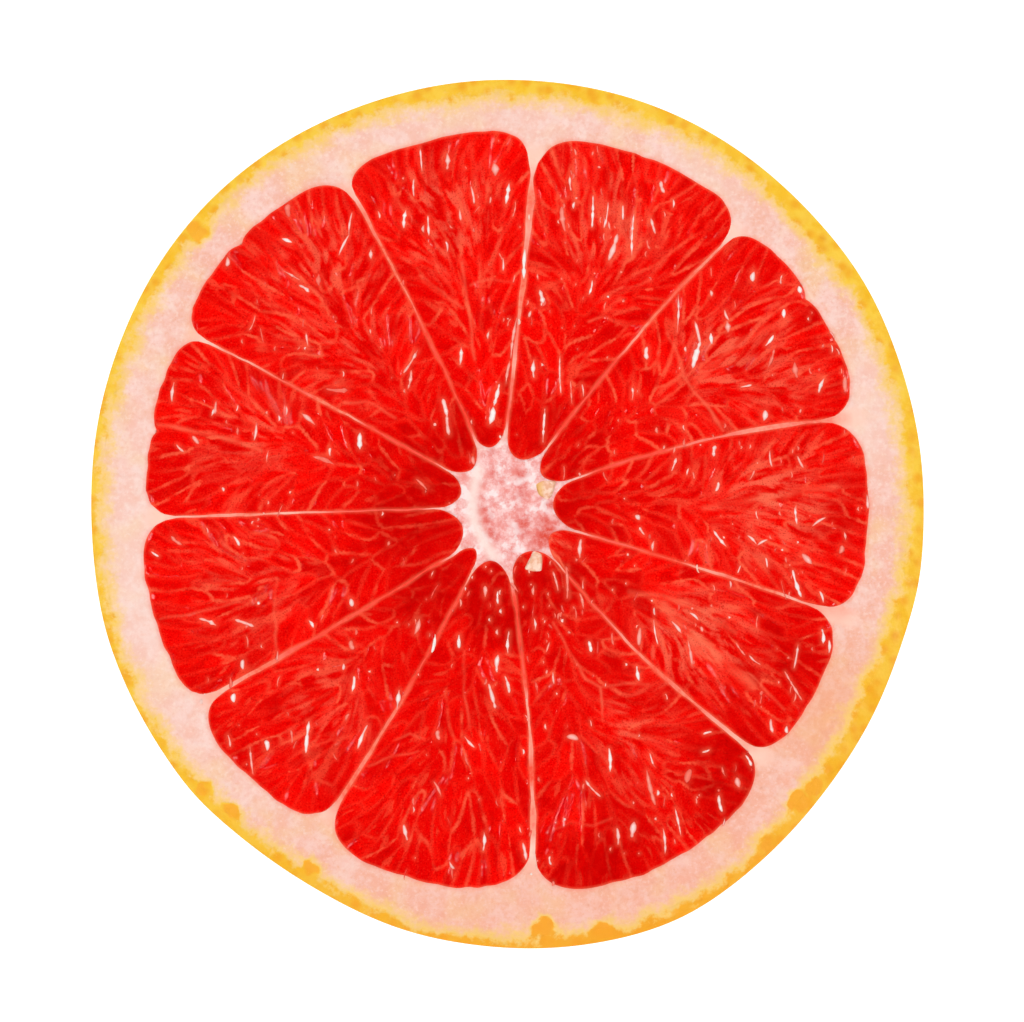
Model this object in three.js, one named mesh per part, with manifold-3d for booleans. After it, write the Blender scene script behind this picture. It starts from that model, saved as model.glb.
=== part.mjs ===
// Half of a red grapefruit, cut across its core and lying on its blossom end with the cut face up.
//
// Units are millimetres and +Z is up. The origin is the middle of the small flat spot under the fruit,
// and seen from above +Y is the long way of the slightly oval cut face.
//
// The yellow peel, the white pith with its core and membranes, each red segment and each undeveloped
// seed are solids of their own. Angles are in degrees, counter-clockwise from +X seen from above.

import * as THREE from "three";
import { mergeVertices } from "three/addons/utils/BufferGeometryUtils.js";
import Module from "manifold-3d";

const wasm = await Module();
wasm.setup();

// ---------------------------------------------------------------- driving dimensions

// The whole half. Seen from the side it follows a superellipse, a little squarer than an ellipse.
const RIM_RADIUS = 50.1;
const FULL_DEPTH = 44.5; // from the cut face to the blossom end, before the fruit sits flat on it
const PROFILE_POWER = 2.2;
const FOOT_RADIUS = 9;

// The rim isn't a true circle: each lobe adds a wave of so many crests round it.
const RIM_LOBES = [
  { crests: 1, height: 0.26, direction: 139 },
  { crests: 2, height: 1.08, direction: 98 },
  { crests: 3, height: 0.35, direction: 43 },
  { crests: 4, height: 0.23, direction: 23 },
  { crests: 5, height: 0.24, direction: -3 },
];

// The layers from the outside in.
const ZEST_THICKNESS = 1.55;
const ZEST_SWELL = 0.35; // the yellow layer is this much thicker on one side and thinner on the other
const ZEST_THICK_SIDE = 20;
const RIND_THICKNESS = 6.7; // yellow layer and pith together, under the segments
const MEMBRANE_THICKNESS = 0.6;
const FIT_GAP = 0.3; // between neighbouring solids

// The core, and the star of membranes that runs from it to the rind.
const CORE_CENTRE = new THREE.Vector2(0.1, 0.5);
const TIP_RADIUS = 5.8; // from the core's centre to the rounded tip of a segment
const SHOULDER_RADIUS = 9.4; // where a segment's tip has widened to its straight sides
const MEMBRANE_START = 7; // radii at which the directions below are given
const MEMBRANE_END = 42;

// Membranes clockwise from the upper left: their directions at the core and at the rind, and how far
// they bow to the left of the straight line between, looking outwards.
const MEMBRANES = [
  { atCore: 117.4, atRind: 116.6, bow: -0.5 },
  { atCore: 95.7, atRind: 86.1, bow: -0.25 },
  { atCore: 58.6, atRind: 50.8, bow: 0.75 },
  { atCore: 25.1, atRind: 14.8, bow: 1.25 },
  { atCore: -19.5, atRind: -17.6, bow: 0.25 },
  { atCore: -48.5, atRind: -44.4, bow: -1.25 },
  { atCore: -89.9, atRind: -86.2, bow: 0.75 },
  { atCore: -121.7, atRind: -120.4, bow: 0.5 },
  { atCore: -139.2, atRind: -148.2, bow: 0.25 },
  { atCore: -180.2, atRind: -178.5, bow: 0 },
  { atCore: -211.5, atRind: -208.7, bow: -0.25 },
];

// Segments clockwise, each between a membrane and the next one: how far the segment reaches from the
// core's centre at its clockwise end (right, looking outwards) and at its other end, and the directions
// of the small notches in its outer edge.
const SEGMENTS = [
  { right: 44.4, left: 44.1, notches: [] },
  { right: 44.4, left: 43.8, notches: [] },
  { right: 42.2, left: 43.4, notches: [35.5] },
  { right: 42.0, left: 42.0, notches: [] },
  { right: 41.8, left: 41.6, notches: [] },
  { right: 45.2, left: 43.2, notches: [] },
  { right: 44.4, left: 45.1, notches: [] },
  { right: 44.0, left: 43.6, notches: [] },
  { right: 43.6, left: 43.9, notches: [] },
  { right: 43.7, left: 42.9, notches: [-193.5] },
  { right: 44.2, left: 44.6, notches: [-221] },
];
const NOTCH_DEPTH = 0.9;
const CORNER_LENGTH = 3; // how much of a segment's side its rounded outer corner takes
const CORNER_WIDTH = 4.4; // how much of its outer edge the corner takes
const SEGMENT_PIVOT = 3.5; // from the core's centre to where a segment's walls draw in to, further down
const SEGMENT_END_WIDTH = 0.3; // width of a segment's flat underside, as a share of its cut face

// Juice sacs: a relief of crests on the cut face of each segment, in rows and columns.
const SAC_ROWS = 18;
const SAC_COLUMNS = 10;
const FAN_ROW = 11; // sacs slant outwards from the segment's middle line up to this row, then fan out
const SAC_LENGTH = 5; // rows from one end of a sac to the next
const SAC_MARGIN = 0.7; // plain border of the relief
const SAC_ARCH = 1.1; // further space between its last row and the segment's outer edge
const EDGE_DROP = 0.45; // cut face down to the segment's edge
const VALLEY_DROP = 0.95; // cut face down to the grooves between sacs

// Undeveloped seeds lying in the cut face beside the core: place, direction of the pointed end, size.
const SEEDS = [
  { x: 4.25, y: 2.55, direction: 200, length: 2.5, width: 1.9 },
  { x: 3.0, y: -5.85, direction: 75, length: 2.4, width: 2.0 },
];
const SEED_RISE = 0.35; // how far a seed stands above the cut face

// Facets.
const RIM_POINTS = 60;
const WALL_RINGS = 7;
const SEGMENT_RINGS = 6;
const CURVE_POINTS = 4; // along each rounded stretch of a segment's outline

// ---------------------------------------------------------------- profile of the half fruit

const superellipse = (share) => (1 - share ** PROFILE_POWER) ** (1 / PROFILE_POWER);
const cutHeight = FULL_DEPTH * superellipse(FOOT_RADIUS / RIM_RADIUS);

// Rings from the cut face down to where the profile has narrowed to endWidth: how far down each lies as
// a share of the full depth, and how wide it is as a share of the rim.
function profileRings(ringCount, endWidth) {
  const endAngle = Math.acos(endWidth ** (PROFILE_POWER / 2));
  return Array.from({ length: ringCount + 1 }, (_, ring) => {
    const angle = (endAngle * ring) / ringCount;
    return {
      drop: Math.sin(angle) ** (2 / PROFILE_POWER),
      width: Math.cos(angle) ** (2 / PROFILE_POWER),
    };
  });
}

// ---------------------------------------------------------------- plan outlines

const polar = (radius, degrees) => {
  const angle = THREE.MathUtils.degToRad(degrees);
  return new THREE.Vector2(radius * Math.cos(angle), radius * Math.sin(angle));
};

const zestThickness = (degrees) =>
  ZEST_THICKNESS + ZEST_SWELL * Math.cos(THREE.MathUtils.degToRad(degrees - ZEST_THICK_SIDE));

// Outline of the fruit at the cut face, moved inwards by inset(degrees).
function rimOutline(inset) {
  return Array.from({ length: RIM_POINTS }, (_, index) => {
    const degrees = (360 * index) / RIM_POINTS;
    const lobes = RIM_LOBES.map(({ crests, height, direction }) =>
      height * Math.cos(THREE.MathUtils.degToRad(crests * (degrees - direction))));
    const radius = lobes.reduce((sum, lobe) => sum + lobe, RIM_RADIUS);
    return polar(radius - inset(degrees), degrees);
  });
}

// A point beside a membrane: radius outwards from the core's centre, sideways to its left.
function besideMembrane({ atCore, atRind, bow }, radius, sideways) {
  const start = polar(MEMBRANE_START, atCore);
  const end = polar(MEMBRANE_END, atRind);
  const share = (radius - MEMBRANE_START) / (MEMBRANE_END - MEMBRANE_START);
  const left = end.clone().sub(start).normalize().rotateAround(new THREE.Vector2(), Math.PI / 2);
  const along = start.lerp(end, share);
  return along.addScaledVector(left, 4 * bow * share * (1 - share) + sideways).add(CORE_CENTRE);
}

// Outline of the pocket that a segment fills, counter-clockwise from the shoulder of its clockwise side.
function pocketOutline({ right, left, notches }, leftMembrane, rightMembrane) {
  const half = MEMBRANE_THICKNESS / 2;
  const onRight = (radius) => besideMembrane(rightMembrane, radius, half);
  const onLeft = (radius) => besideMembrane(leftMembrane, radius, -half);
  const outwards = (radius, degrees) => polar(radius, degrees).add(CORE_CENTRE);
  const halfWay = (reach) => (SHOULDER_RADIUS + reach - CORNER_LENGTH) / 2;
  const firstCorner = rightMembrane.atRind + THREE.MathUtils.radToDeg(CORNER_WIDTH / right);
  const lastCorner = leftMembrane.atRind - THREE.MathUtils.radToDeg(CORNER_WIDTH / left);
  const reachAt = (degrees) => THREE.MathUtils.mapLinear(degrees, firstCorner, lastCorner, right, left);

  const path = new THREE.Path();
  const start = onRight(SHOULDER_RADIUS);
  path.moveTo(start.x, start.y);
  const curveTo = (control, end) => path.quadraticCurveTo(control.x, control.y, end.x, end.y);
  const lineTo = (point) => path.lineTo(point.x, point.y);

  lineTo(onRight(halfWay(right)));
  lineTo(onRight(right - CORNER_LENGTH));
  curveTo(onRight(right), outwards(right, firstCorner));
  let from = firstCorner;
  for (const to of [...notches, lastCorner]) {
    const middle = (from + to) / 2;
    const bulge = 1 / Math.cos(THREE.MathUtils.degToRad((to - from) / 2));
    const depth = to === lastCorner ? 0 : NOTCH_DEPTH;
    curveTo(outwards(reachAt(middle) * bulge, middle), outwards(reachAt(to) - depth, to));
    from = to;
  }
  curveTo(onLeft(left), onLeft(left - CORNER_LENGTH));
  lineTo(onLeft(halfWay(left)));
  lineTo(onLeft(SHOULDER_RADIUS));

  // A quadratic curve passes half way between its control point and the middle of its chord.
  const shoulders = onLeft(SHOULDER_RADIUS).add(start).divideScalar(2).sub(CORE_CENTRE);
  const tipControl = shoulders.clone().setLength(2 * TIP_RADIUS - shoulders.length()).add(CORE_CENTRE);
  curveTo(tipControl, start);
  return path.getPoints(CURVE_POINTS).slice(0, -1);
}

// A counter-clockwise outline moved inwards by distance, point for point.
function insetOutline(outline, distance) {
  return outline.map((point, index) => {
    const before = outline.at(index - 1);
    const after = outline[(index + 1) % outline.length];
    const inwards = after.clone().sub(before).normalize().rotateAround(new THREE.Vector2(), Math.PI / 2);
    return point.clone().addScaledVector(inwards, distance);
  });
}

// ---------------------------------------------------------------- solids

// Closed solid through level rings of equal point count, from the top down, counter-clockwise from
// above. The top is flat unless topPoints and topTriangles give another: topTriangles number the
// first ring's points from 0 and the topPoints on from topStart(rings).
const topStart = (rings) => rings.length * rings[0].length;

function loft(rings, topPoints = [], topTriangles = THREE.ShapeUtils.triangulateShape(rings[0], [])) {
  const count = rings[0].length;
  const triangles = [...topTriangles];
  for (let ring = 0; ring + 1 < rings.length; ring += 1) {
    for (let index = 0; index < count; index += 1) {
      const next = (index + 1) % count;
      const upper = ring * count;
      const lower = upper + count;
      triangles.push([upper + index, lower + index, lower + next]);
      triangles.push([upper + index, lower + next, upper + next]);
    }
  }
  const lastRing = rings.at(-1);
  const lastStart = (rings.length - 1) * count;
  for (const [a, b, c] of THREE.ShapeUtils.triangulateShape(lastRing, [])) {
    triangles.push([lastStart + a, lastStart + c, lastStart + b]);
  }
  const points = [...rings.flat(), ...topPoints];
  const geometry = new THREE.BufferGeometry().setFromPoints(points);
  return geometry.setIndex(triangles.flat());
}

// Rings of a bowl under a plan outline, drawn in towards pivot as they go down.
function bowlRings(outline, pivot, fullDepth, ringCount, endWidth) {
  return profileRings(ringCount, endWidth).map(({ drop, width }) =>
    outline.map((point) => {
      const plan = pivot.clone().lerp(point, width);
      return new THREE.Vector3(plan.x, plan.y, cutHeight - fullDepth * drop);
    }));
}

// The same bowl standing open above the cut face, as a tool to cut with.
function bowlCutter(...bowl) {
  const rings = bowlRings(...bowl);
  const headroom = 3;
  const raised = rings[0].map(({ x, y, z }) => new THREE.Vector3(x, y, z + headroom));
  return toManifold(loft([raised, ...rings]));
}

function toManifold(geometry) {
  const bare = geometry.clone();
  bare.deleteAttribute("normal");
  bare.deleteAttribute("uv");
  const merged = mergeVertices(bare);
  return new wasm.Manifold(new wasm.Mesh({
    numProp: 3,
    vertProperties: merged.attributes.position.array,
    triVerts: new Uint32Array(merged.index.array),
  }));
}

function toGeometry(solid) {
  const { vertProperties, triVerts } = solid.getMesh();
  const geometry = new THREE.BufferGeometry();
  geometry.setAttribute("position", new THREE.BufferAttribute(vertProperties, 3));
  geometry.setIndex(new THREE.BufferAttribute(triVerts, 1));
  return geometry;
}

// ---------------------------------------------------------------- juice sacs

// Seeded random numbers from 0 to 1 (mulberry32).
function seededRandom(seed) {
  let state = seed;
  return () => {
    state = (state + 0x6d2b79f5) | 0;
    let mixed = Math.imul(state ^ (state >>> 15), 1 | state);
    mixed = (mixed + Math.imul(mixed ^ (mixed >>> 7), 61 | mixed)) ^ mixed;
    return ((mixed ^ (mixed >>> 14)) >>> 0) / 2 ** 32;
  };
}

// Direction from the core's centre at which a chain of outline points first reaches a radius.
function directionAtRadius(chain, radius) {
  const index = chain.findIndex((point) => point.distanceTo(CORE_CENTRE) >= radius);
  const outer = chain[index].clone().sub(CORE_CENTRE);
  const inner = chain[index - 1].clone().sub(CORE_CENTRE);
  const share = (radius - inner.length()) / (outer.length() - inner.length());
  return inner.lerp(outer, share).angle();
}

// Drop of one point of the relief below the cut face. Crests run slanting outwards from the middle
// column and then straight out, and each is broken into sacs that end out of step with the next.
function sacDrop(column, row, random) {
  const crest = Math.abs(column - SAC_COLUMNS / 2) - Math.min(row, FAN_ROW);
  const onCrest = crest % 2 === 0;
  const atSacEnd = (row + 2 * Math.abs(crest)) % SAC_LENGTH === 0;
  const roughness = 0.3 * random();
  return onCrest && !atSacEnd ? VALLEY_DROP * roughness : VALLEY_DROP * (1 - roughness);
}

// The relief's points, row by row from the shoulders outwards, between the two sides of a border.
function sacGrid(border, random) {
  const middle = Math.round(border.length / 2);
  const tip = border.length - CURVE_POINTS / 2;
  const rightChain = [...border.slice(tip), ...border.slice(0, middle)];
  const leftChain = border.slice(middle, tip + 1).reverse();
  const lastRadius = border[middle].distanceTo(CORE_CENTRE) - SAC_ARCH;
  const points = [];
  for (let row = 0; row <= SAC_ROWS; row += 1) {
    const radius = THREE.MathUtils.lerp(SHOULDER_RADIUS, lastRadius, row / SAC_ROWS);
    const right = directionAtRadius(rightChain, radius);
    const span = (directionAtRadius(leftChain, radius) - right + 2 * Math.PI) % (2 * Math.PI);
    for (let column = 0; column <= SAC_COLUMNS; column += 1) {
      const angle = right + (span * column) / SAC_COLUMNS;
      const x = CORE_CENTRE.x + radius * Math.cos(angle);
      const y = CORE_CENTRE.y + radius * Math.sin(angle);
      points.push(new THREE.Vector3(x, y, cutHeight - sacDrop(column, row, random)));
    }
  }
  return points;
}

const gridIndex = (column, row) => row * (SAC_COLUMNS + 1) + column;

// The grid's border, counter-clockwise from above, as numbers of its points.
function gridBorder() {
  const columns = Array.from({ length: SAC_COLUMNS }, (_, column) => column);
  const rows = Array.from({ length: SAC_ROWS }, (_, row) => row);
  return [
    ...rows.map((row) => gridIndex(0, row)),
    ...columns.map((column) => gridIndex(column, SAC_ROWS)),
    ...rows.map((row) => gridIndex(SAC_COLUMNS, SAC_ROWS - row)),
    ...columns.map((column) => gridIndex(SAC_COLUMNS - column, 0)),
  ];
}

// Triangles of the grid, each square split along the slant of the crests.
function gridTriangles() {
  const triangles = [];
  for (let row = 0; row < SAC_ROWS; row += 1) {
    for (let column = 0; column < SAC_COLUMNS; column += 1) {
      const innerRight = gridIndex(column, row);
      const innerLeft = gridIndex(column + 1, row);
      const outerRight = gridIndex(column, row + 1);
      const outerLeft = gridIndex(column + 1, row + 1);
      if (column < SAC_COLUMNS / 2) {
        triangles.push([innerRight, outerRight, innerLeft], [outerRight, outerLeft, innerLeft]);
      } else {
        triangles.push([innerRight, outerRight, outerLeft], [innerRight, outerLeft, innerLeft]);
      }
    }
  }
  return triangles;
}

// ---------------------------------------------------------------- pieces

const fruitAxis = new THREE.Vector2(0, 0);
const footWidth = FOOT_RADIUS / RIM_RADIUS;

function makePeel() {
  const outside = bowlRings(rimOutline(() => 0), fruitAxis, FULL_DEPTH, WALL_RINGS, footWidth);
  const inside = bowlCutter(
    rimOutline(zestThickness), fruitAxis, FULL_DEPTH - ZEST_THICKNESS, WALL_RINGS, footWidth);
  return toGeometry(toManifold(loft(outside)).subtract(inside));
}

const segmentDepth = FULL_DEPTH - RIND_THICKNESS;
const [{ atCore, atRind, bow }] = MEMBRANES;
const membranesRound = [...MEMBRANES, { atCore: atCore - 360, atRind: atRind - 360, bow }];

const segments = SEGMENTS.map((segment, index) => {
  const [left, right] = membranesRound.slice(index, index + 2);
  return {
    name: `pulp_${String(index + 1).padStart(2, "0")}`,
    outline: pocketOutline(segment, left, right),
    pivot: polar(SEGMENT_PIVOT, (left.atCore + right.atCore) / 2).add(CORE_CENTRE),
  };
});

function makePulp({ outline, pivot }, index) {
  const edge = insetOutline(outline, FIT_GAP);
  const rings = bowlRings(edge, pivot, segmentDepth, SEGMENT_RINGS, SEGMENT_END_WIDTH);
  rings[0].forEach((point) => { point.z -= EDGE_DROP; });
  const sacs = sacGrid(insetOutline(edge, SAC_MARGIN), seededRandom(index + 1));
  const border = gridBorder();
  const start = topStart(rings);
  const joining = THREE.ShapeUtils.triangulateShape(rings[0], [border.map((point) => sacs[point])]);
  const count = rings[0].length;
  const number = (joint) => (joint < count ? joint : start + border[joint - count]);
  const triangles = [
    ...joining.map((triangle) => triangle.map(number)),
    ...gridTriangles().map((triangle) => triangle.map((point) => start + point)),
  ];
  return toManifold(loft(rings, sacs, triangles));
}

function makePith() {
  const outline = rimOutline((degrees) => zestThickness(degrees) + FIT_GAP);
  const depth = FULL_DEPTH - ZEST_THICKNESS - FIT_GAP;
  const body = toManifold(loft(bowlRings(outline, fruitAxis, depth, WALL_RINGS, footWidth)));
  return segments.reduce((pith, { outline: pocket, pivot }) => {
    const cutter = bowlCutter(pocket, pivot, segmentDepth + FIT_GAP, SEGMENT_RINGS, SEGMENT_END_WIDTH);
    return pith.subtract(cutter);
  }, body);
}

// A seed lying on its side, blunt at one end and pointed at the other, larger by growth all over.
function makeSeed({ x, y, direction, length, width }, growth) {
  const steps = 6;
  const profile = Array.from({ length: steps + 1 }, (_, step) => {
    const angle = (Math.PI * step) / steps;
    const radius = (width / 2 + growth) * Math.sin(angle) * (1 + 0.25 * Math.cos(angle));
    return new THREE.Vector2(step % steps === 0 ? 0 : radius, -(length / 2 + growth) * Math.cos(angle));
  });
  const seed = new THREE.LatheGeometry(profile, 12);
  seed.rotateZ(THREE.MathUtils.degToRad(direction - 90));
  return seed.translate(x, y, cutHeight + SEED_RISE - width / 2);
}

function makeMesh(name, geometry, colour, roughness) {
  const material = new THREE.MeshStandardMaterial({
    color: colour, roughness, metalness: 0, flatShading: true,
  });
  const mesh = new THREE.Mesh(geometry, material);
  mesh.name = name;
  return mesh;
}

// ---------------------------------------------------------------- the half grapefruit

const seedHollows = SEEDS.map((seed) => toManifold(makeSeed(seed, FIT_GAP)));
const withoutSeeds = (solid) => seedHollows.reduce((rest, hollow) => rest.subtract(hollow), solid);

const fruit = new THREE.Group();
fruit.add(makeMesh("peel", makePeel(), 0xf5b52a, 0.5));
fruit.add(makeMesh("pith", toGeometry(withoutSeeds(makePith())), 0xfbdcd0, 0.7));
segments.forEach((segment, index) => {
  fruit.add(makeMesh(segment.name, toGeometry(withoutSeeds(makePulp(segment, index))), 0xe3170a, 0.25));
});
SEEDS.forEach((seed, index) => {
  fruit.add(makeMesh(`seed_${index + 1}`, makeSeed(seed, 0), 0xf6e2c0, 0.45));
});

// The middle of the fruit's box stands over the origin.
const middle = new THREE.Box3().setFromObject(fruit).getCenter(new THREE.Vector3());
fruit.position.set(-middle.x, -middle.y, 0);

export default fruit;
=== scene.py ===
"""Half of a red grapefruit, cut across its core: the looks, dressed round the CAD frame.

Lengths are millimetres in the fruit's own frame, with the stalk axis at x = y = 0 and the floor at
z = 0. Mesh.make() moves them to the frame's metres. A plan position is a complex number, x + iy, and
angles are degrees counter-clockwise from +X seen from above. Pixels are those of the photograph, which
looks straight down on the cut face with +Y up.
"""

import functools
import math
from collections import namedtuple
from types import SimpleNamespace

import bpy
import numpy as np
from mathutils.geometry import delaunay_2d_cdt
from mathutils.kdtree import KDTree
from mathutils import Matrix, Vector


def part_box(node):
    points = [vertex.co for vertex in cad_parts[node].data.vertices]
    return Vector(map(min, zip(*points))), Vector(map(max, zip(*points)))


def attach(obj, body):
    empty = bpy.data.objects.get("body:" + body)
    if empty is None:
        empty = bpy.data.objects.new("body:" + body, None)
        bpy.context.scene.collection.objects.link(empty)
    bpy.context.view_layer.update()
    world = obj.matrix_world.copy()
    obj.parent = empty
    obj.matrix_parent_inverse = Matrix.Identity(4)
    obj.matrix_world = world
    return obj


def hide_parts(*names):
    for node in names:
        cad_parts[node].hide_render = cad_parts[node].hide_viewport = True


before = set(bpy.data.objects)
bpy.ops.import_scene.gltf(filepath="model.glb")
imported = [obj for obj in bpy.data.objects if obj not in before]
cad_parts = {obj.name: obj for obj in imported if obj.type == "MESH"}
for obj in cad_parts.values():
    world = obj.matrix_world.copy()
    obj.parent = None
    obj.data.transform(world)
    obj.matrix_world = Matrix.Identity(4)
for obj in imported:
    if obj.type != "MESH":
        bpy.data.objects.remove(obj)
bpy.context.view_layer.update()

MM = 0.001  # metres
PIXELS_PER_MM = 8.5
AXIS_PIXEL = (509, 512.5)  # where the photograph shows the stalk axis
IMAGE_SIZE = (1024, 1022)

# ---------------------------------------------------------------- driving dimensions, as in the CAD

RIM_RADIUS = 50.1
FULL_DEPTH = 44.5
PROFILE_POWER = 2.2
FOOT_RADIUS = 9
RIM_LOBES = [  # crests, height, direction
    (1, 0.26, 139), (2, 1.08, 98), (3, 0.35, 43), (4, 0.23, 23), (5, 0.24, -3),
]
RIM_SWELLS = [  # direction, width in degrees, height: finer swells of the rim, not in the CAD
    (33, 10, 0.3), (97, 9, 0.09), (168, 9, 0.12), (196, 7, 0.14), (222, 6, 0.2), (255, 10, 0.32),
    (293, 9, 0.35), (331, 10, 0.2), (350, 7, 0.26),
]
CAD_RIM_POINTS = 60
ZEST_THICKNESS = 1.55
ZEST_SWELL = 0.35
ZEST_THICK_SIDE = 20
RIND_THICKNESS = 6.7
CORE = 0.1 + 0.5j
MEMBRANE_START = 7
MEMBRANE_END = 42

# Clockwise from the upper left, with the directions at both ends. A membrane stands out from its clear
# radius on, and is faint nearer to the core.
Membrane = namedtuple("Membrane", "at_core at_rind bow whiteness thickness clear_radius")
MEMBRANES = [
    Membrane(117.4, 116.6, -0.5, 0.0, 0.8, 27),
    Membrane(95.7, 86.1, -0.25, 0.6, 1.5, 15.5),
    Membrane(58.6, 50.8, 0.75, 0.35, 0.9, 25),
    Membrane(25.1, 14.8, 1.25, 0.6, 1.0, 24),
    Membrane(-19.5, -17.9, 0.25, 0.5, 0.9, 23),
    Membrane(-48.5, -44.4, -1.25, 0.6, 1.0, 21),
    Membrane(-89.9, -86.2, 0.75, 0.4, 1.15, 23),
    Membrane(-121.7, -120.4, 0.5, 0.3, 1.0, 24),
    Membrane(-139.2, -147.8, 0.25, 0.15, 0.9, 26),
    Membrane(-180.2, -178.5, 0, 0.9, 0.8, 24),
    Membrane(-211.5, -208.7, -0.25, 0.35, 0.8, 21),
    Membrane(-242.6, -243.4, -0.5, 0.0, 0.8, 27),
]

# Segments clockwise. The reach is the radius at the right and the left end of the outer edge, whose
# middle bulges further and whose corners are more or less rounded. A notch is a direction, a depth and
# a width. The outer juice sacs fan out from a pixel.
SegmentShape = namedtuple(
    "SegmentShape", "tip right_reach left_reach bulge right_corner left_corner notches fan_pixel")
SEGMENTS = [
    SegmentShape(7.5, 44.2, 43.95, 0.35, 1.15, 0.9, [], (462, 262)),
    SegmentShape(5.9, 44.05, 43.9, 0.3, 1.35, 1.5, [], (588, 300)),
    SegmentShape(5.4, 42.4, 43.1, 0.5, 1.3, 1.0, [(35.2, 0.7, 1.0)], (683, 377)),
    SegmentShape(5.1, 41.6, 41.75, 0.55, 1.1, 1.2, [], (700, 505)),
    SegmentShape(5.7, 42.0, 41.5, 0.15, 0.9, 1.5, [], (632, 594)),
    SegmentShape(5.5, 45.3, 42.9, 1.55, 1.45, 1.45, [], (594, 735)),
    SegmentShape(6.5, 44.75, 44.3, 0.55, 1.5, 1.5, [], (464, 672)),
    SegmentShape(6.3, 43.9, 43.3, 0.55, 1.3, 1.05, [], (366, 656)),
    SegmentShape(6.0, 43.2, 43.6, 0.35, 1.25, 0.9, [], (300, 578)),
    SegmentShape(6.0, 43.5, 42.6, 0.3, 0.95, 1.0, [(-192.3, 1.0, 1.1)], (290, 450)),
    SegmentShape(6.4, 44.1, 44.15, 0.75, 1.15, 1.05, [(-224.5, 0.6, 0.9)], (345, 345)),
]
CORNER_LENGTH = 3.2
CORNER_WIDTH = 4.4
TIP_ROUNDNESS = 0.55  # length of a segment's rounded tip, as a share of its width there
SEGMENT_PIVOT = 3.5
SEGMENT_END_WIDTH = 0.3

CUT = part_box("peel")[1].z / MM  # height of the cut face
SKIN_INSET = 0.1  # keeps the smooth skin inside the CAD rim's flat facets
LIGHT_LEVEL = 1.17  # how bright the studio light makes a white surface facing up; a screen's white is 1

# ---------------------------------------------------------------- numbers, fields and noise

NOISE_CELLS = 256


def srgb_to_linear(value):
    return value / 12.92 if value <= 0.04045 else ((value + 0.055) / 1.055) ** 2.4


def seen(red, green, blue):
    """Surface colour that the studio light shows on screen as this red, green and blue, 0 to 255."""
    return (*(srgb_to_linear(value / 255) / LIGHT_LEVEL for value in (red, green, blue)), 1)


def at_pixel(pixel):
    """Plan position that the photograph shows at a pixel."""
    return (pixel[0] - AXIS_PIXEL[0] + 1j * (AXIS_PIXEL[1] - pixel[1])) / PIXELS_PER_MM


def polar(radius, degrees):
    return radius * np.exp(1j * np.radians(degrees))


def direction(points):
    return np.degrees(np.angle(points))


def lerp(start, end, share):
    return start + (end - start) * share


def smoothstep(low, high, value):
    share = np.clip((value - low) / (high - low), 0, 1)
    return share * share * (3 - 2 * share)


def bell(distance, width):
    """1 where the distance is 0, falling to about a third at one width."""
    return np.exp(-((distance / width) ** 2))


@functools.cache
def noise_table(seed):
    return np.random.default_rng(seed).uniform(-1, 1, (NOISE_CELLS, NOISE_CELLS))


def noise(points, size, seed):
    """A smooth random field over the plan, from -1 to 1, with lumps of about this size."""
    table = noise_table(seed)
    across, up = np.real(points) / size, np.imag(points) / size
    column, row = np.floor(across).astype(int), np.floor(up).astype(int)
    across, up = smoothstep(0, 1, across - column), smoothstep(0, 1, up - row)

    def corner(right, above):
        return table[(row + above) % NOISE_CELLS, (column + right) % NOISE_CELLS]

    return lerp(lerp(corner(0, 0), corner(1, 0), across), lerp(corner(0, 1), corner(1, 1), across), up)


def spots(points, marks):
    """Soft round spots: each mark is a pixel, a radius and a strength, and the strongest wins."""
    field = np.zeros(len(points))
    for pixel, radius, strength in marks:
        wobble = 1 + 0.25 * noise(points, radius * 0.6, 5)
        field = np.maximum(field, strength * bell(abs(points - at_pixel(pixel)) * wobble, radius))
    return field


# ---------------------------------------------------------------- plan of the fruit

def cad_rim_radius(degrees):
    lobes = sum(
        height * np.cos(np.radians(crests * (degrees - towards)))
        for crests, height, towards in RIM_LOBES)
    return RIM_RADIUS + lobes


def swells(degrees, marks):
    """Sum of soft swells round the fruit, each with a direction, a width in degrees and a height."""
    return sum(
        height * bell((degrees - towards + 180) % 360 - 180, width)
        for towards, width, height in marks)


def rim_radius(degrees):
    return cad_rim_radius(degrees) + swells(degrees, RIM_SWELLS)


def even_directions(count):
    return np.arange(count) * 360 / count


def zest_thickness(degrees):
    return ZEST_THICKNESS + ZEST_SWELL * np.cos(np.radians(degrees - ZEST_THICK_SIDE))


def plan_middle():
    """Middle of the CAD rim's box, which the CAD stands over the frame's origin."""
    degrees = even_directions(CAD_RIM_POINTS)
    rim = polar(cad_rim_radius(degrees), degrees)
    return complex(rim.real.min() + rim.real.max(), rim.imag.min() + rim.imag.max()) / 2


MIDDLE = plan_middle()


def beside_membrane(membrane, radius, sideways):
    """Plan points this far out along a membrane and to its left, looking outwards."""
    start, end = polar(MEMBRANE_START, membrane.at_core), polar(MEMBRANE_END, membrane.at_rind)
    share = (radius - MEMBRANE_START) / (MEMBRANE_END - MEMBRANE_START)
    left = 1j * (end - start) / abs(end - start)
    return CORE + lerp(start, end, share) + left * (4 * membrane.bow * share * (1 - share) + sideways)


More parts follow.
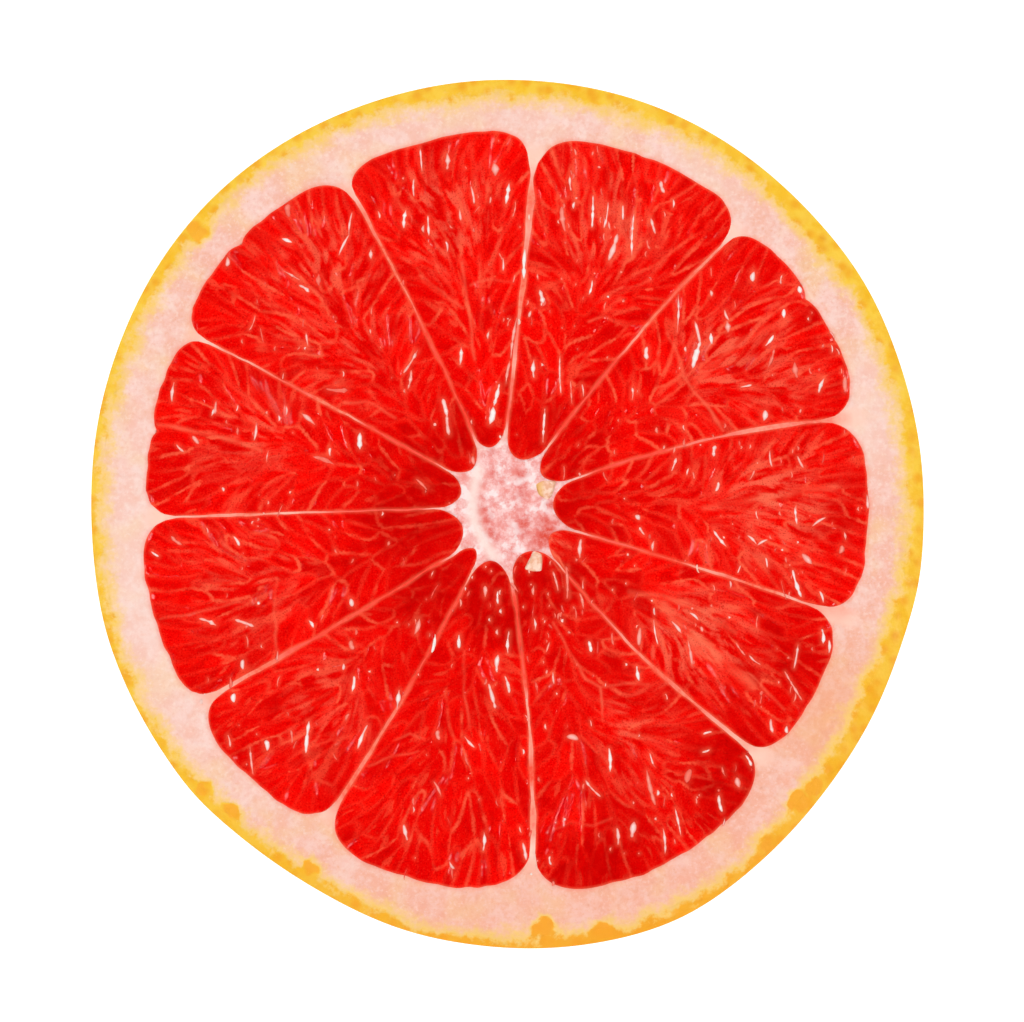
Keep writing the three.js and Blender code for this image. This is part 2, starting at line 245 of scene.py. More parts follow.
class Segment:
    """One segment's cut face: radii are from the core's centre, and across runs from -1 on its right
    side to 1 on its left, looking outwards."""

    def __init__(self, index):
        self.index = index
        self.name = f"{index + 1:02d}"
        self.shape = SEGMENTS[index]
        self.left, self.right = MEMBRANES[index], MEMBRANES[index + 1]
        self.fan = at_pixel(self.shape.fan_pixel)
        self.core_direction = (self.left.at_core + self.right.at_core) / 2
        self.direction = (self.core_direction + (self.left.at_rind + self.right.at_rind) / 2) / 2
        self.axis = polar(1, self.direction)
        self.mean_reach = (self.shape.right_reach + self.shape.left_reach) / 2
        self.tip_length = TIP_ROUNDNESS * self.width(self.shape.tip + 2.0)
        self.pivot = CORE + polar(SEGMENT_PIVOT, self.core_direction)

    def side(self, membrane, radius, half_thickness):
        along = radius + 1j * (membrane.at_core % 360)
        uneven = membrane.thickness * (1 + 0.5 * noise(along, 2.6, 13))
        wavy = 0.09 * noise(along, 3, 11) + 0.05 * noise(along, 1.1, 12)
        point = (beside_membrane(membrane, radius, half_thickness * uneven + wavy) - CORE) / self.axis
        return abs(point), np.angle(point)

    def sides(self, radius):
        half = 0.12 + 0.1 * smoothstep(20, 36, radius) + 0.1 * smoothstep(38, 43, radius)
        return self.side(self.right, radius, half), self.side(self.left, radius, -half)

    def plan(self, radius, across):
        (right, right_angle), (left, left_angle) = self.sides(radius)
        share = (across + 1) / 2
        turn = np.exp(1j * lerp(right_angle, left_angle, share))
        return CORE + self.axis * lerp(right, left, share) * turn

    def tip(self, across):
        return self.shape.tip + self.tip_length * (1 - np.sqrt(1 - across**2))

    def width(self, radius):
        (right, right_angle), (left, left_angle) = self.sides(radius)
        return (right + left) / 2 * (left_angle - right_angle)

    def reach(self, across):
        share = (across + 1) / 2
        shape = self.shape
        radius = lerp(shape.right_reach, shape.left_reach, share) + shape.bulge * (1 - across**2)
        width = self.width(radius)
        corners = [(width * share, shape.right_corner), (width * (1 - share), shape.left_corner)]
        for from_side, roundness in corners:
            straight = np.sqrt(np.clip(from_side / (roundness * CORNER_WIDTH), 0, 1))
            radius = radius - roundness * CORNER_LENGTH * (1 - straight) ** 2
        (_, right_angle), (_, left_angle) = self.sides(radius)
        degrees = self.direction + np.degrees(lerp(right_angle, left_angle, share))
        arc = np.radians(degrees) * radius
        for towards, depth, notch_width in shape.notches:
            radius = radius - depth * np.exp(-abs(np.radians(degrees - towards)) * radius / notch_width)
        calm = 1 - across**8
        return radius + calm * (0.16 * noise(arc + 0j, 3.5, 21) + 0.1 * noise(arc + 0j, 1.3, 22))

    def radius(self, across, outwards):
        return lerp(self.tip(across), self.reach(across), outwards)

    def outline(self, side_steps=110, end_steps=70, tip_steps=14):
        """Closed outline, counter-clockwise from the shoulder of the right side."""
        ahead = np.linspace(0, 1, side_steps, endpoint=False)
        over = spread(np.linspace(-1, 1, end_steps, endpoint=False))
        under = spread(np.linspace(1, -1, tip_steps, endpoint=False))
        right, left = np.full(side_steps, -1.0), np.full(side_steps, 1.0)
        across = np.concatenate([right, over, left, under])
        outwards = np.concatenate([ahead, np.ones(end_steps), 1 - ahead, np.zeros(tip_steps)])
        return self.plan(self.radius(across, outwards), across)


def spread(across):
    """Crowds evenly spaced positions a little towards both sides."""
    return 1.2 * across - 0.2 * across**3


segments = [Segment(index) for index in range(len(SEGMENTS))]

# ---------------------------------------------------------------- meshes

def profile_rings(count, end_width):
    """Rings from the cut face down: drop as a share of the full depth, width as a share of the rim."""
    angle = np.linspace(0, math.acos(end_width ** (PROFILE_POWER / 2)), count + 1)
    return np.sin(angle) ** (2 / PROFILE_POWER), np.cos(angle) ** (2 / PROFILE_POWER)


def points_3d(plan, height):
    plan, height = np.broadcast_arrays(plan, height)
    return np.stack([plan.real, plan.imag, height], -1).reshape(-1, 3)


def add_object(name, data):
    added = bpy.data.objects.new(name, data)
    bpy.context.scene.collection.objects.link(added)
    return added


class Mesh:
    """Collects points and triangles, in millimetres, and then makes one object of them."""

    def __init__(self):
        self.points = []
        self.triangles = []
        self.count = 0

    def add(self, plan, height):
        """Adds points and returns their numbers, in the shape of the plan positions."""
        block = points_3d(plan, height)
        numbers = self.count + np.arange(len(block))
        self.points.append(block)
        self.count += len(block)
        return numbers.reshape(np.shape(plan))

    def plan(self):
        points = np.concatenate(self.points)
        return points[:, 0] + 1j * points[:, 1]

    def bridge(self, inner, outer):
        """Joins two rows of points. The outer row has as many steps as the inner one, or twice as many.
        With outer to the left of inner, the triangles face up."""
        if len(inner) == len(outer):
            inner_end, outer_end = inner[1:], outer[1:]
            self.triangles.append(np.stack([inner[:-1], inner_end, outer_end], 1))
            self.triangles.append(np.stack([inner[:-1], outer_end, outer[:-1]], 1))
            return
        first, middle, last = outer[:-1:2], outer[1::2], outer[2::2]
        self.triangles.append(np.stack([inner[:-1], middle, first], 1))
        self.triangles.append(np.stack([inner[:-1], inner[1:], middle], 1))
        self.triangles.append(np.stack([inner[1:], last, middle], 1))

    def cap(self, ring, plan, height):
        """Closes a counter-clockwise ring, seen from the side that the cap faces, with a fan."""
        centre = self.add(np.array([plan]), height)[0]
        following = np.roll(ring, -1)
        self.triangles.append(np.stack([ring, following, np.full(len(ring), centre)], 1))

    def spindle(self, plan, height):
        """A closed body through a row of rings, and returns the numbers of their points."""
        numbers = self.add(plan, height)
        for one, other in zip(numbers, numbers[1:]):
            self.bridge(close(one), close(other))
        self.cap(numbers[0][::-1], plan[0].mean(), height[0].mean())
        self.cap(numbers[-1], plan[-1].mean(), height[-1].mean())
        return numbers

    def wall(self, ring, outline, pivot, depth, rings, end_width, faces_in=False):
        """A bowl's wall from a ring of the cut face down to a flat end, in the shape of the fruit."""
        drops, widths = profile_rings(rings, end_width)
        upper = ring
        for drop, width in zip(drops[1:], widths[1:]):
            lower = self.add(lerp(pivot, outline, width), CUT - depth * drop)
            rows = (close(upper), close(lower)) if faces_in else (close(lower), close(upper))
            self.bridge(*rows)
            upper = lower
        end = lower if faces_in else lower[::-1]
        self.cap(end, lerp(pivot, outline, width).mean(), CUT - depth * drop)

    def make(self, name, replaced, material, attributes, sharp_angle=50):
        mesh = bpy.data.meshes.new(name)
        points = (np.concatenate(self.points) - [MIDDLE.real, MIDDLE.imag, 0]) * MM
        triangles = np.concatenate(self.triangles)
        mesh.vertices.add(len(points))
        mesh.vertices.foreach_set("co", points.ravel())
        mesh.loops.add(triangles.size)
        mesh.loops.foreach_set("vertex_index", triangles.ravel())
        mesh.polygons.add(len(triangles))
        mesh.polygons.foreach_set("loop_start", np.arange(0, triangles.size, 3))
        mesh.update(calc_edges=True)
        for field, values in attributes.items():
            kind, key = ("FLOAT_VECTOR", "vector") if values.ndim == 2 else ("FLOAT", "value")
            padded = np.zeros((len(points), *values.shape[1:]), np.float32)
            padded[: len(values)] = values
            mesh.attributes.new(field, kind, "POINT").data.foreach_set(key, padded.ravel())
        mesh.set_sharp_from_angle(angle=math.radians(sharp_angle))
        mesh.materials.append(material)
        piece = add_object(name, mesh)
        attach(piece, "root")
        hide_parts(replaced)


def close(ring):
    return np.append(ring, ring[0])


def fewer_columns(reach, zones):
    """How many times fewer columns a row has this far out, so that triangles stay even in size."""
    return next((fewer for limit, fewer in zones if reach < limit), 1)


def nearest(points, others):
    """For each 3-D point, the number of the nearest of the others and the distance to it."""
    tree = KDTree(len(others))
    for number, other in enumerate(others):
        tree.insert(other, number)
    tree.balance()
    found = [tree.find(point) for point in points]
    return np.array([number for _, number, _ in found]), np.array([distance for _, _, distance in found])


def distance_in_plan(plan, others):
    return nearest(points_3d(plan, 0), points_3d(others, 0))[1]


# ---------------------------------------------------------------- materials

FIBRE_SQUEEZE = 0.16  # scale of the flesh's fine noise along a sac, which draws it out into fibres
GLAND_SPACING = 1.6
FLOOR_GLOW = 0.4


class Shader:
    """Builds one material's nodes. An input may be a number, a colour or another node's output."""

    def __init__(self, name):
        self.material = bpy.data.materials.new(name)
        self.material.use_nodes = True
        self.tree = self.material.node_tree
        self.surface = self.tree.nodes["Principled BSDF"]

    def feed(self, socket, given):
        if isinstance(given, bpy.types.NodeSocket):
            self.tree.links.new(given, socket)
        else:
            socket.default_value = given

    def give(self, node, **inputs):
        for name, given in inputs.items():
            self.feed(node.inputs[name.replace("_", " ")], given)
        return node

    def node(self, kind, **settings):
        node = self.tree.nodes.new(kind)
        for name, value in settings.items():
            setattr(node, name, value)
        return node

    def field(self, name, vector=False):
        node = self.node("ShaderNodeAttribute", attribute_name=name)
        return node.outputs["Vector" if vector else "Fac"]

    def place(self):
        return self.node("ShaderNodeTexCoord").outputs["Object"]

    def noise(self, size, vector=None, detail=2.0, roughness=0.5, distortion=0.0):
        """Noise with lumps of this size in millimetres, from about 0.3 to 0.7."""
        scale = 1 / (size * MM) if vector is None else 1 / size
        node = self.give(
            self.node("ShaderNodeTexNoise"), Vector=vector or self.place(), Scale=scale, Detail=detail,
            Roughness=roughness, Distortion=distortion)
        return node.outputs[0]

    def filled(self, kind, sockets, givens, **settings):
        node = self.node(kind, **settings)
        for number, given in zip(sockets, givens):
            self.feed(node.inputs[number], given)
        return node

    def step(self, value, low, high, start=0.0, end=1.0):
        """Runs smoothly from start, where the value is low, to end, where it is high."""
        givens = (value, low, high, start, end)
        node = self.filled("ShaderNodeMapRange", range(5), givens, interpolation_type="SMOOTHSTEP")
        return node.outputs[0]

    def math(self, operation, first, second):
        return self.filled("ShaderNodeMath", (0, 1), (first, second), operation=operation).outputs[0]

    def mix(self, share, first, second):
        """From the first colour, at a share of 0, to the second."""
        node = self.filled("ShaderNodeMix", (0, 6, 7), (share, first, second), data_type="RGBA")
        return node.outputs[2]

    def layered(self, base, *layers):
        """Lays colours over a base in turn, each given as the share that it covers and the colour."""
        for share, colour in layers:
            base = self.mix(share, base, colour)
        return base

    def bump(self, height, depth):
        """A bump of this depth in millimetres."""
        node = self.give(self.node("ShaderNodeBump"), Height=height, Distance=depth * MM)
        self.give(self.surface, Normal=node.outputs[0])


def pulp_material():
    shader = Shader("pulp")
    grain = shader.field("grain", vector=True)
    squeeze = (FIBRE_SQUEEZE, 1, 1)
    drawn_out = shader.filled("ShaderNodeVectorMath", (0, 1), (grain, squeeze), operation="MULTIPLY")
    fibres = shader.noise(0.3, drawn_out.outputs[0], detail=3, roughness=0.6)
    mottle = shader.noise(1.4, detail=4, roughness=0.6, distortion=0.4)
    speckle = shader.noise(0.35, detail=2)
    grit = shader.noise(0.2, detail=2)

    ripple = shader.math("ADD", shader.field("ripple"), shader.step(fibres, 0.3, 0.7, -0.5, 0.5))
    border = shader.math("ADD", shader.field("border"), shader.step(mottle, 0.35, 0.65, -0.1, 0.1))
    rim = shader.math("MULTIPLY", shader.step(border, 0.45, 0.0, 0, 0.32), shader.field("dim"))
    pale = shader.math("MULTIPLY", shader.field("pale"), shader.step(ripple, -0.7, 1.5, 0, 1))
    deep = shader.math("MULTIPLY", shader.field("deep"), shader.step(mottle, 0.3, 0.6, 0.95, 0.6))
    lit = shader.step(shader.field("deep"), 0, 1, 1, 0.4)
    shaded = shader.math("MULTIPLY", shader.field("strength"), lit)
    edge = shader.math("ADD", shader.field("border"), shader.step(speckle, 0.3, 0.7, -0.1, 0.1))
    line = shader.math("MULTIPLY", shader.step(edge, 0.32, 0.0, 0, 0.72), shaded)
    colour = shader.layered(
        seen(236, 0, 0),
        (shader.field("tone"), seen(255, 3, 0)),
        (shader.step(mottle, 0.44, 0.66, 0, 0.24), seen(255, 36, 18)),
        (shader.step(ripple, -0.5, -1.9, 0, 0.5), seen(212, 0, 0)),
        (shader.step(ripple, 0.8, 2.4, 0, 0.6), seen(255, 76, 50)),
        (rim, seen(255, 74, 50)),
        (pale, seen(255, 122, 92)),
        (shader.step(grit, 0.56, 0.72, 0, 0.22), seen(255, 80, 58)),
        (deep, seen(194, 0, 0)),
        (shader.step(grit, 0.48, 0.3, 0, 0.6), seen(192, 0, 0)),
        (line, seen(255, 100, 68)),
        # light: pale lines along the edge and the veins, and painted highlight glow round the beads
        (shader.field("light"), seen(255, 116, 84)),
        # painted highlights: the beads' pink edges and white middles
        (shader.step(shader.field("glint"), 0, 0.6), seen(255, 130, 110)),
        (shader.step(shader.field("glint"), 0.45, 1), seen(255, 244, 240)),
    )
    roughness = shader.step(mottle, 0.35, 0.65, 0.06, 0.16)
    shader.give(shader.surface, Base_Color=colour, Roughness=roughness, IOR=1.22)
    shader.bump(shader.math("MULTIPLY", fibres, shader.field("dome")), 0.02)
    return shader.material


def rind_colour(shader):
    """Colour of the cut rind: yellow outer layer with darker oil glands, then pale pink pith."""
    wander = shader.noise(2.6, detail=3, roughness=0.55)
    ragged = shader.noise(0.5, detail=3, roughness=0.6)
    edge = shader.math("ADD", shader.field("zest"), shader.step(wander, 0.3, 0.7, -0.75, 0.35))
    edge = shader.math("ADD", edge, shader.step(ragged, 0.3, 0.7, -0.3, 0.3))
    glands = shader.give(
        shader.node("ShaderNodeTexVoronoi", feature="SMOOTH_F1"), Vector=shader.place(),
        Scale=1 / (GLAND_SPACING * MM), Smoothness=0.6, Randomness=0.9)
    gland = shader.step(glands.outputs["Distance"], 0.6, 0.1)
    beyond = shader.math("SUBTRACT", shader.field("depth"), edge)
    beyond = shader.math("SUBTRACT", beyond, shader.math("MULTIPLY", gland, 0.2))

    blotch = shader.noise(2.8, detail=5, roughness=0.65)
    grains = shader.noise(0.55, detail=4, roughness=0.7)
    fibre = shader.field("fibre")
    pith = shader.layered(
        seen(246, 183, 163),
        (shader.step(blotch, 0.38, 0.62), seen(250, 208, 198)),
        (shader.step(shader.noise(5.5), 0.46, 0.68, 0, 0.7), seen(247, 198, 148)),
        (shader.step(fibre, 0.1, 0.9, 0, 0.5), seen(244, 172, 148)),
        (shader.step(fibre, -0.2, -0.9, 0, 0.5), seen(251, 222, 212)),
        (shader.step(grains, 0.5, 0.7, 0, 0.6), seen(241, 172, 142)),
        (shader.step(grains, 0.48, 0.34, 0, 0.6), seen(252, 220, 206)),
        (shader.field("warmth"), seen(246, 160, 124)),
        (shader.field("tan"), seen(243, 158, 102)),
        (shader.field("fair"), seen(251, 225, 215)),
        (shader.field("blush"), seen(252, 130, 104)),
    )
    return shader.layered(
        seen(250, 203, 62),
        (shader.step(blotch, 0.42, 0.62), seen(248, 190, 34)),
        (shader.math("MULTIPLY", gland, 0.9), seen(245, 168, 24)),
        (shader.step(shader.field("zest"), 2.6, 3.6, 0, 0.8), seen(250, 172, 40)),
        (shader.math("MULTIPLY", shader.field("warmth"), 2.2), seen(248, 160, 34)),
        (shader.step(beyond, -0.8, 0.1), seen(250, 205, 106)),
        (shader.step(beyond, -0.5, 1.9), pith),
    )


def pith_material():
    shader = Shader("pith")
    speckle = shader.noise(0.8, detail=4, roughness=0.7)
    cloud = shader.noise(1.7, detail=4, roughness=0.6)
    core = shader.layered(
        seen(243, 160, 154),
        (shader.step(speckle, 0.36, 0.64), seen(253, 208, 204)),
        (shader.step(cloud, 0.51, 0.62, 0, 0.8), seen(255, 240, 238)),
        (shader.step(cloud, 0.47, 0.35, 0, 0.5), seen(242, 130, 118)),
    )
    strand = shader.layered(
        seen(255, 86, 58),
        (shader.step(speckle, 0.35, 0.6), seen(255, 126, 96)),
        (shader.field("bright"), seen(255, 206, 186)),
    )
    stain = shader.math("MULTIPLY", shader.field("stain"), shader.step(speckle, 0.3, 0.62, 1, 0.7))
    colour = shader.layered(
        rind_colour(shader),
        (shader.field("core"), core),
        (stain, seen(226, 66, 46)),
        (shader.field("cream"), seen(253, 226, 216)),
        (shader.field("strand"), strand),
        (shader.field("faint"), seen(255, 50, 30)),
        # painted highlight on the beads that lie on the pith
        (shader.step(shader.field("glint"), 0.2, 0.9), seen(255, 246, 240)),
    )
    roughness = shader.step(speckle, 0.3, 0.7, 0.35, 0.6)
    shader.give(shader.surface, Base_Color=colour, Roughness=roughness, IOR=1.38)
    shader.bump(shader.noise(0.6, detail=3), 0.08)
    return shader.material


def peel_material():
    shader = Shader("peel")
    patches = shader.noise(9, detail=4, roughness=0.55)
    grain = shader.noise(0.5, detail=2)
    colour = shader.layered(
        (0.86, 0.5, 0.07, 1),
        (shader.step(patches, 0.38, 0.64), (0.85, 0.4, 0.06, 1)),
        (shader.step(shader.noise(22, detail=2), 0.5, 0.72, 0, 0.6), (0.85, 0.27, 0.09, 1)),
        (shader.step(grain, 0.35, 0.65, 0.25, 0), (0.72, 0.3, 0.02, 1)),
        (shader.field("pore"), (0.62, 0.24, 0.02, 1)),
        (shader.field("scar"), (0.2, 0.09, 0.02, 1)),
        (shader.field("cut"), rind_colour(shader)),
    )
    roughness = shader.step(patches, 0.3, 0.7, 0.3, 0.42)
    shader.give(shader.surface, Base_Color=colour, Roughness=roughness, IOR=1.45)
    shader.bump(grain, 0.05)
    return shader.material


def seed_material():
    shader = Shader("seed")
    mottle = shader.noise(0.6, detail=3)
    colour = shader.layered(
        seen(243, 182, 148),
        (shader.step(mottle, 0.4, 0.62), seen(254, 216, 192)),
        (shader.field("tint"), seen(244, 186, 112)),
    )
    roughness = shader.step(mottle, 0.3, 0.7, 0.22, 0.4)
    shader.give(shader.surface, Base_Color=colour, Roughness=roughness, IOR=1.4)
    shader.bump(mottle, 0.05)
    return shader.material


def floor_material():
    """A white floor. What the camera sees of it glows, and more so far out, to stay white where the
    lights don't reach; the glow lights nothing."""
    shader = Shader("floor")
    colour = shader.mix(shader.noise(40, detail=2), (0.9, 0.9, 0.9, 1), (0.93, 0.93, 0.93, 1))
    shader.give(shader.surface, Base_Color=colour, Roughness=0.8)
    from_middle = shader.node("ShaderNodeVectorMath", operation="LENGTH")
    shader.give(from_middle, Vector=shader.place())
    glow = shader.step(from_middle.outputs["Value"], 0.1, 1.0, FLOOR_GLOW, 1)
    direct = shader.node("ShaderNodeLightPath").outputs["Is Camera Ray"]
    shader.give(shader.surface, Emission_Color=(1, 1, 1, 1))
    shader.give(shader.surface, Emission_Strength=shader.math("MULTIPLY", glow, direct))
    return shader.material


# ---------------------------------------------------------------- juice sacs

PALE_SPOTS = [  # pixel, radius, strength: where the flesh is paler and more translucent
    ((448, 215), 6, 0.5), ((612, 222), 7, 0.35), ((745, 365), 7, 0.5), ((775, 505), 7, 0.6),
    ((700, 635), 6, 0.75), ((630, 735), 5, 0.35), ((325, 700), 6, 0.3), ((243, 578), 6, 0.35),
    ((252, 440), 5, 0.4), ((320, 262), 6, 0.4), ((345, 335), 6, 0.35), ((551, 541), 1.7, 0.9),
]
DEEP_SPOTS = [  # where it is darker
    ((405, 525), 5, 1.0), ((425, 592), 5, 1.0), ((500, 602), 6, 0.9), ((562, 588), 4, 0.8),
    ((738, 785), 6, 1.0), ((600, 865), 5, 0.9), ((425, 470), 5, 0.7), ((575, 505), 3, 0.6),
    ((848, 500), 3, 0.7), ((380, 450), 5, 0.4), ((550, 430), 5, 0.5), ((230, 760), 4, 0.4),
    ((538, 578), 2, 1.0), ((715, 752), 3, 0.8), ((452, 430), 4, 0.7), ((800, 655), 4, 0.5),
]
VEINS = [  # pixels along a pale line inside a segment, half-width in millimetres, strength
    ([(462, 262), (470, 320), (474, 358)], 0.18, 0.45),
    ([(471, 286), (490, 279), (511, 281)], 0.16, 0.4),
    ([(420, 276), (442, 292), (463, 308)], 0.16, 0.4),
    ([(589, 322), (605, 316), (624, 324)], 0.16, 0.45),
    ([(683, 377), (706, 405), (724, 430)], 0.18, 0.6),
    ([(667, 334), (677, 352), (684, 375)], 0.18, 0.5),
    ([(554, 623), (575, 661), (586, 680), (601, 687), (603, 720)], 0.17, 0.55),
    ([(601, 687), (625, 683), (649, 684)], 0.17, 0.5),
    ([(555, 829), (570, 823), (592, 826), (612, 819)], 0.15, 0.28),
    ([(464, 650), (464, 690), (470, 730)], 0.17, 0.4),
    ([(395, 739), (410, 732), (425, 738)], 0.15, 0.4),
    ([(368, 765), (395, 756), (418, 751)], 0.14, 0.35),
    ([(158, 425), (190, 431), (221, 437), (261, 450)], 0.24, 0.75),
    ([(345, 403), (366, 402), (395, 417)], 0.18, 0.55),
    ([(160, 619), (200, 612), (240, 600)], 0.16, 0.45),
    ([(277, 578), (274, 610), (277, 650)], 0.16, 0.45),
    ([(630, 592), (662, 596), (704, 612), (735, 632)], 0.3, 0.5),
    ([(664, 606), (700, 640), (752, 686)], 0.6, 0.55),
    ([(690, 650), (750, 675), (785, 710)], 0.16, 0.5),
    ([(705, 508), (760, 498), (835, 488)], 0.4, 0.35),
    ([(547, 549), (559, 557), (566, 571), (567, 590)], 0.13, 0.9),
    ([(544, 553), (554, 561), (561, 574), (563, 588)], 0.1, 0.6),
    ([(549, 551), (560, 562), (566, 575), (568, 598)], 0.35, 0.45),
    ([(693, 388), (735, 345), (790, 318)], 0.35, 0.35),
]
GRAIN_WOBBLE = 30  # degrees
SAC_TRIES = 2500
SAC_SPACING = 0.62  # as a share of a sac's own size
NUDGE = 0.02
RIPPLE_SIZE = 0.5
RIPPLE_STEPS = 5
RIPPLE_STRIDE = 0.25


def grain_direction(segment, points):
    """Direction that the juice sacs lie in: slanting outwards from the segment's middle line, and
    beyond the fan point straight out from it."""
    fan = segment.fan - CORE
    radius = abs(points - CORE)
    share = smoothstep(0, 1, radius / abs(fan))
    fan_direction = direction(fan / segment.axis) + segment.direction
    middle = polar(1, lerp(segment.core_direction, fan_direction, share))
    slanting = lerp(0.45, 0.86, smoothstep(8, 20, radius)) * radius
    beyond = smoothstep(abs(fan) - 2, abs(fan) + 5, radius)
    root = CORE + middle * lerp(slanting, 0.95 * abs(fan), beyond)
    away = (points - root) * polar(1, GRAIN_WOBBLE * noise(points, 4.2, 30 + segment.index))
    return away / np.maximum(abs(away), 0.1)


def sac_sizes(points):
    """Half length and half width of the sacs."""
    radius = abs(points - CORE)
    length = 1.7 + 1.2 * smoothstep(10, 22, radius) + 2.0 * smoothstep(24, 36, radius)
    width = 0.75 + 0.35 * smoothstep(9, 20, radius) - 0.15 * smoothstep(28, 38, radius)
    return length, width


def scatter(segment, random):
    """Places for sacs, at random but apart from each other by a share of their own size."""
    outwards = np.sqrt(random.uniform(0.02, 1, SAC_TRIES))
    across = random.uniform(-0.97, 0.97, SAC_TRIES)
    places = segment.plan(segment.radius(across, outwards), across)
    grains = grain_direction(segment, places)
    lengths, widths = sac_sizes(places)
    kept = []
    for candidate in range(SAC_TRIES):
        away = (places[kept] - places[candidate]) * np.conj(grains[candidate])
        gap = np.hypot(away.real / lengths[candidate], away.imag / widths[candidate])
        if not kept or gap.min() > 2 * SAC_SPACING:
            kept.append(candidate)
    return places[kept], grains[kept]


class Sacs:
    """The juice sacs of one segment, as leaf-shaped cells that fill its cut face."""

    def __init__(self, segment, random):
        self.places, grains = scatter(segment, random)
        count = len(self.places)
        self.lengths, self.widths = sac_sizes(self.places)
        self.turns = grains * polar(1, random.normal(0, 9, count))
        self.bends = random.normal(0, 0.03, count)
        self.sizes = random.uniform(0.85, 1.2, count)
        self.leans = random.normal(0, 0.035, count)
        self.tones, self.hues, self.bulges = random.uniform(0, 1, (3, count))
        picks = random.uniform(0, 1, (count, count))
        self.drawn = smoothstep(0.72, 0.98, np.maximum(picks, picks.T))

    def at(self, points):
        """Each point's own sac, the next sac, nearness to the border of the two, and place in the sac."""
        away = (points[:, None] - self.places) * np.conj(self.turns)
        aside = away.imag + self.bends * away.real**2
        taper = 1 + 0.3 * np.tanh(away.real / self.lengths)
        gaps = np.hypot(away.real / self.lengths, aside / (self.widths * taper)) / self.sizes
        own, next_one = np.argpartition(gaps, 1, axis=1)[:, :2].T
        rows = np.arange(len(points))
        border = (gaps[rows, next_one] - gaps[rows, own]) * self.widths[own] / 2
        return own, next_one, border, away.real[rows, own], aside[rows, own]

    def measure(self, points):
        """As at(), with the distance to the border and the direction away from it."""
        own, next_one, border, ahead, aside = self.at(points)
        slope = (self.at(points + NUDGE)[2] - border) + 1j * (self.at(points + 1j * NUDGE)[2] - border)
        steepness = np.maximum(abs(slope) / NUDGE, 0.3)
        return SimpleNamespace(
            own=own, next_one=next_one, ahead=ahead, aside=aside,
            distance=border / steepness, away=slope / np.maximum(abs(slope), 1e-6))

    def gather(self, points, freedom):
        """Draws points near a border towards it, so that the mesh follows the lines between the sacs."""
        cell = self.measure(points)
        return points - freedom * cell.away * cell.distance * bell(cell.distance, 0.11)

    def relief(self, points, cell):
        """Height of the flesh above the grooves, and how far each point is from them, 0 to 1."""
        dome = 1 - bell(cell.distance, 0.4)
        bulge = 0.05 + 0.13 * smoothstep(0.75, 1, self.bulges[cell.own])
        lean = np.clip(self.leans[cell.own] * cell.ahead, -0.07, 0.07)
        lumps = 0.05 * noise(points, 2.5, 31) + 0.02 * noise(points, 0.8, 32)
        return dome * (bulge + lean) + lumps, dome


def from_stretch(points, start, end):
    """Distance to a straight stretch."""
    share = np.clip(np.real((points - start) / (end - start)), 0, 1)
    return abs(points - lerp(start, end, share))


def along_line(points, line):
    """Distance to a line of pixels."""
    corners = [at_pixel(pixel) for pixel in line]
    return np.min([from_stretch(points, *ends) for ends in zip(corners, corners[1:])], 0)


def vein_field(points):
    """Strength of the pale lines inside the segments, with a little unevenness."""
    wobble = 0.12 * noise(points, 1.2, 36) + 0.2j * noise(points, 2.0, 37)
    uneven = 0.65 + 0.35 * noise(points, 1.5, 38)
    lines = [strength * bell(along_line(points + wobble, line), width) for line, width, strength in VEINS]
    return np.max(lines, 0) * uneven


def ripples(segment, points):
    """Streaks that run with the sacs: noise averaged along the way that they lie, spread about 1."""
    total = np.zeros(len(points))
    for way in (1, -1):
        walker = points
        for _ in range(RIPPLE_STEPS):
            total += noise(walker, RIPPLE_SIZE, 40 + segment.index)
            walker = walker + way * RIPPLE_STRIDE * grain_direction(segment, walker)
    return total / total.std() * lerp(0.45, 1.3, smoothstep(-0.5, 0.6, noise(points, 2.4, 55)))
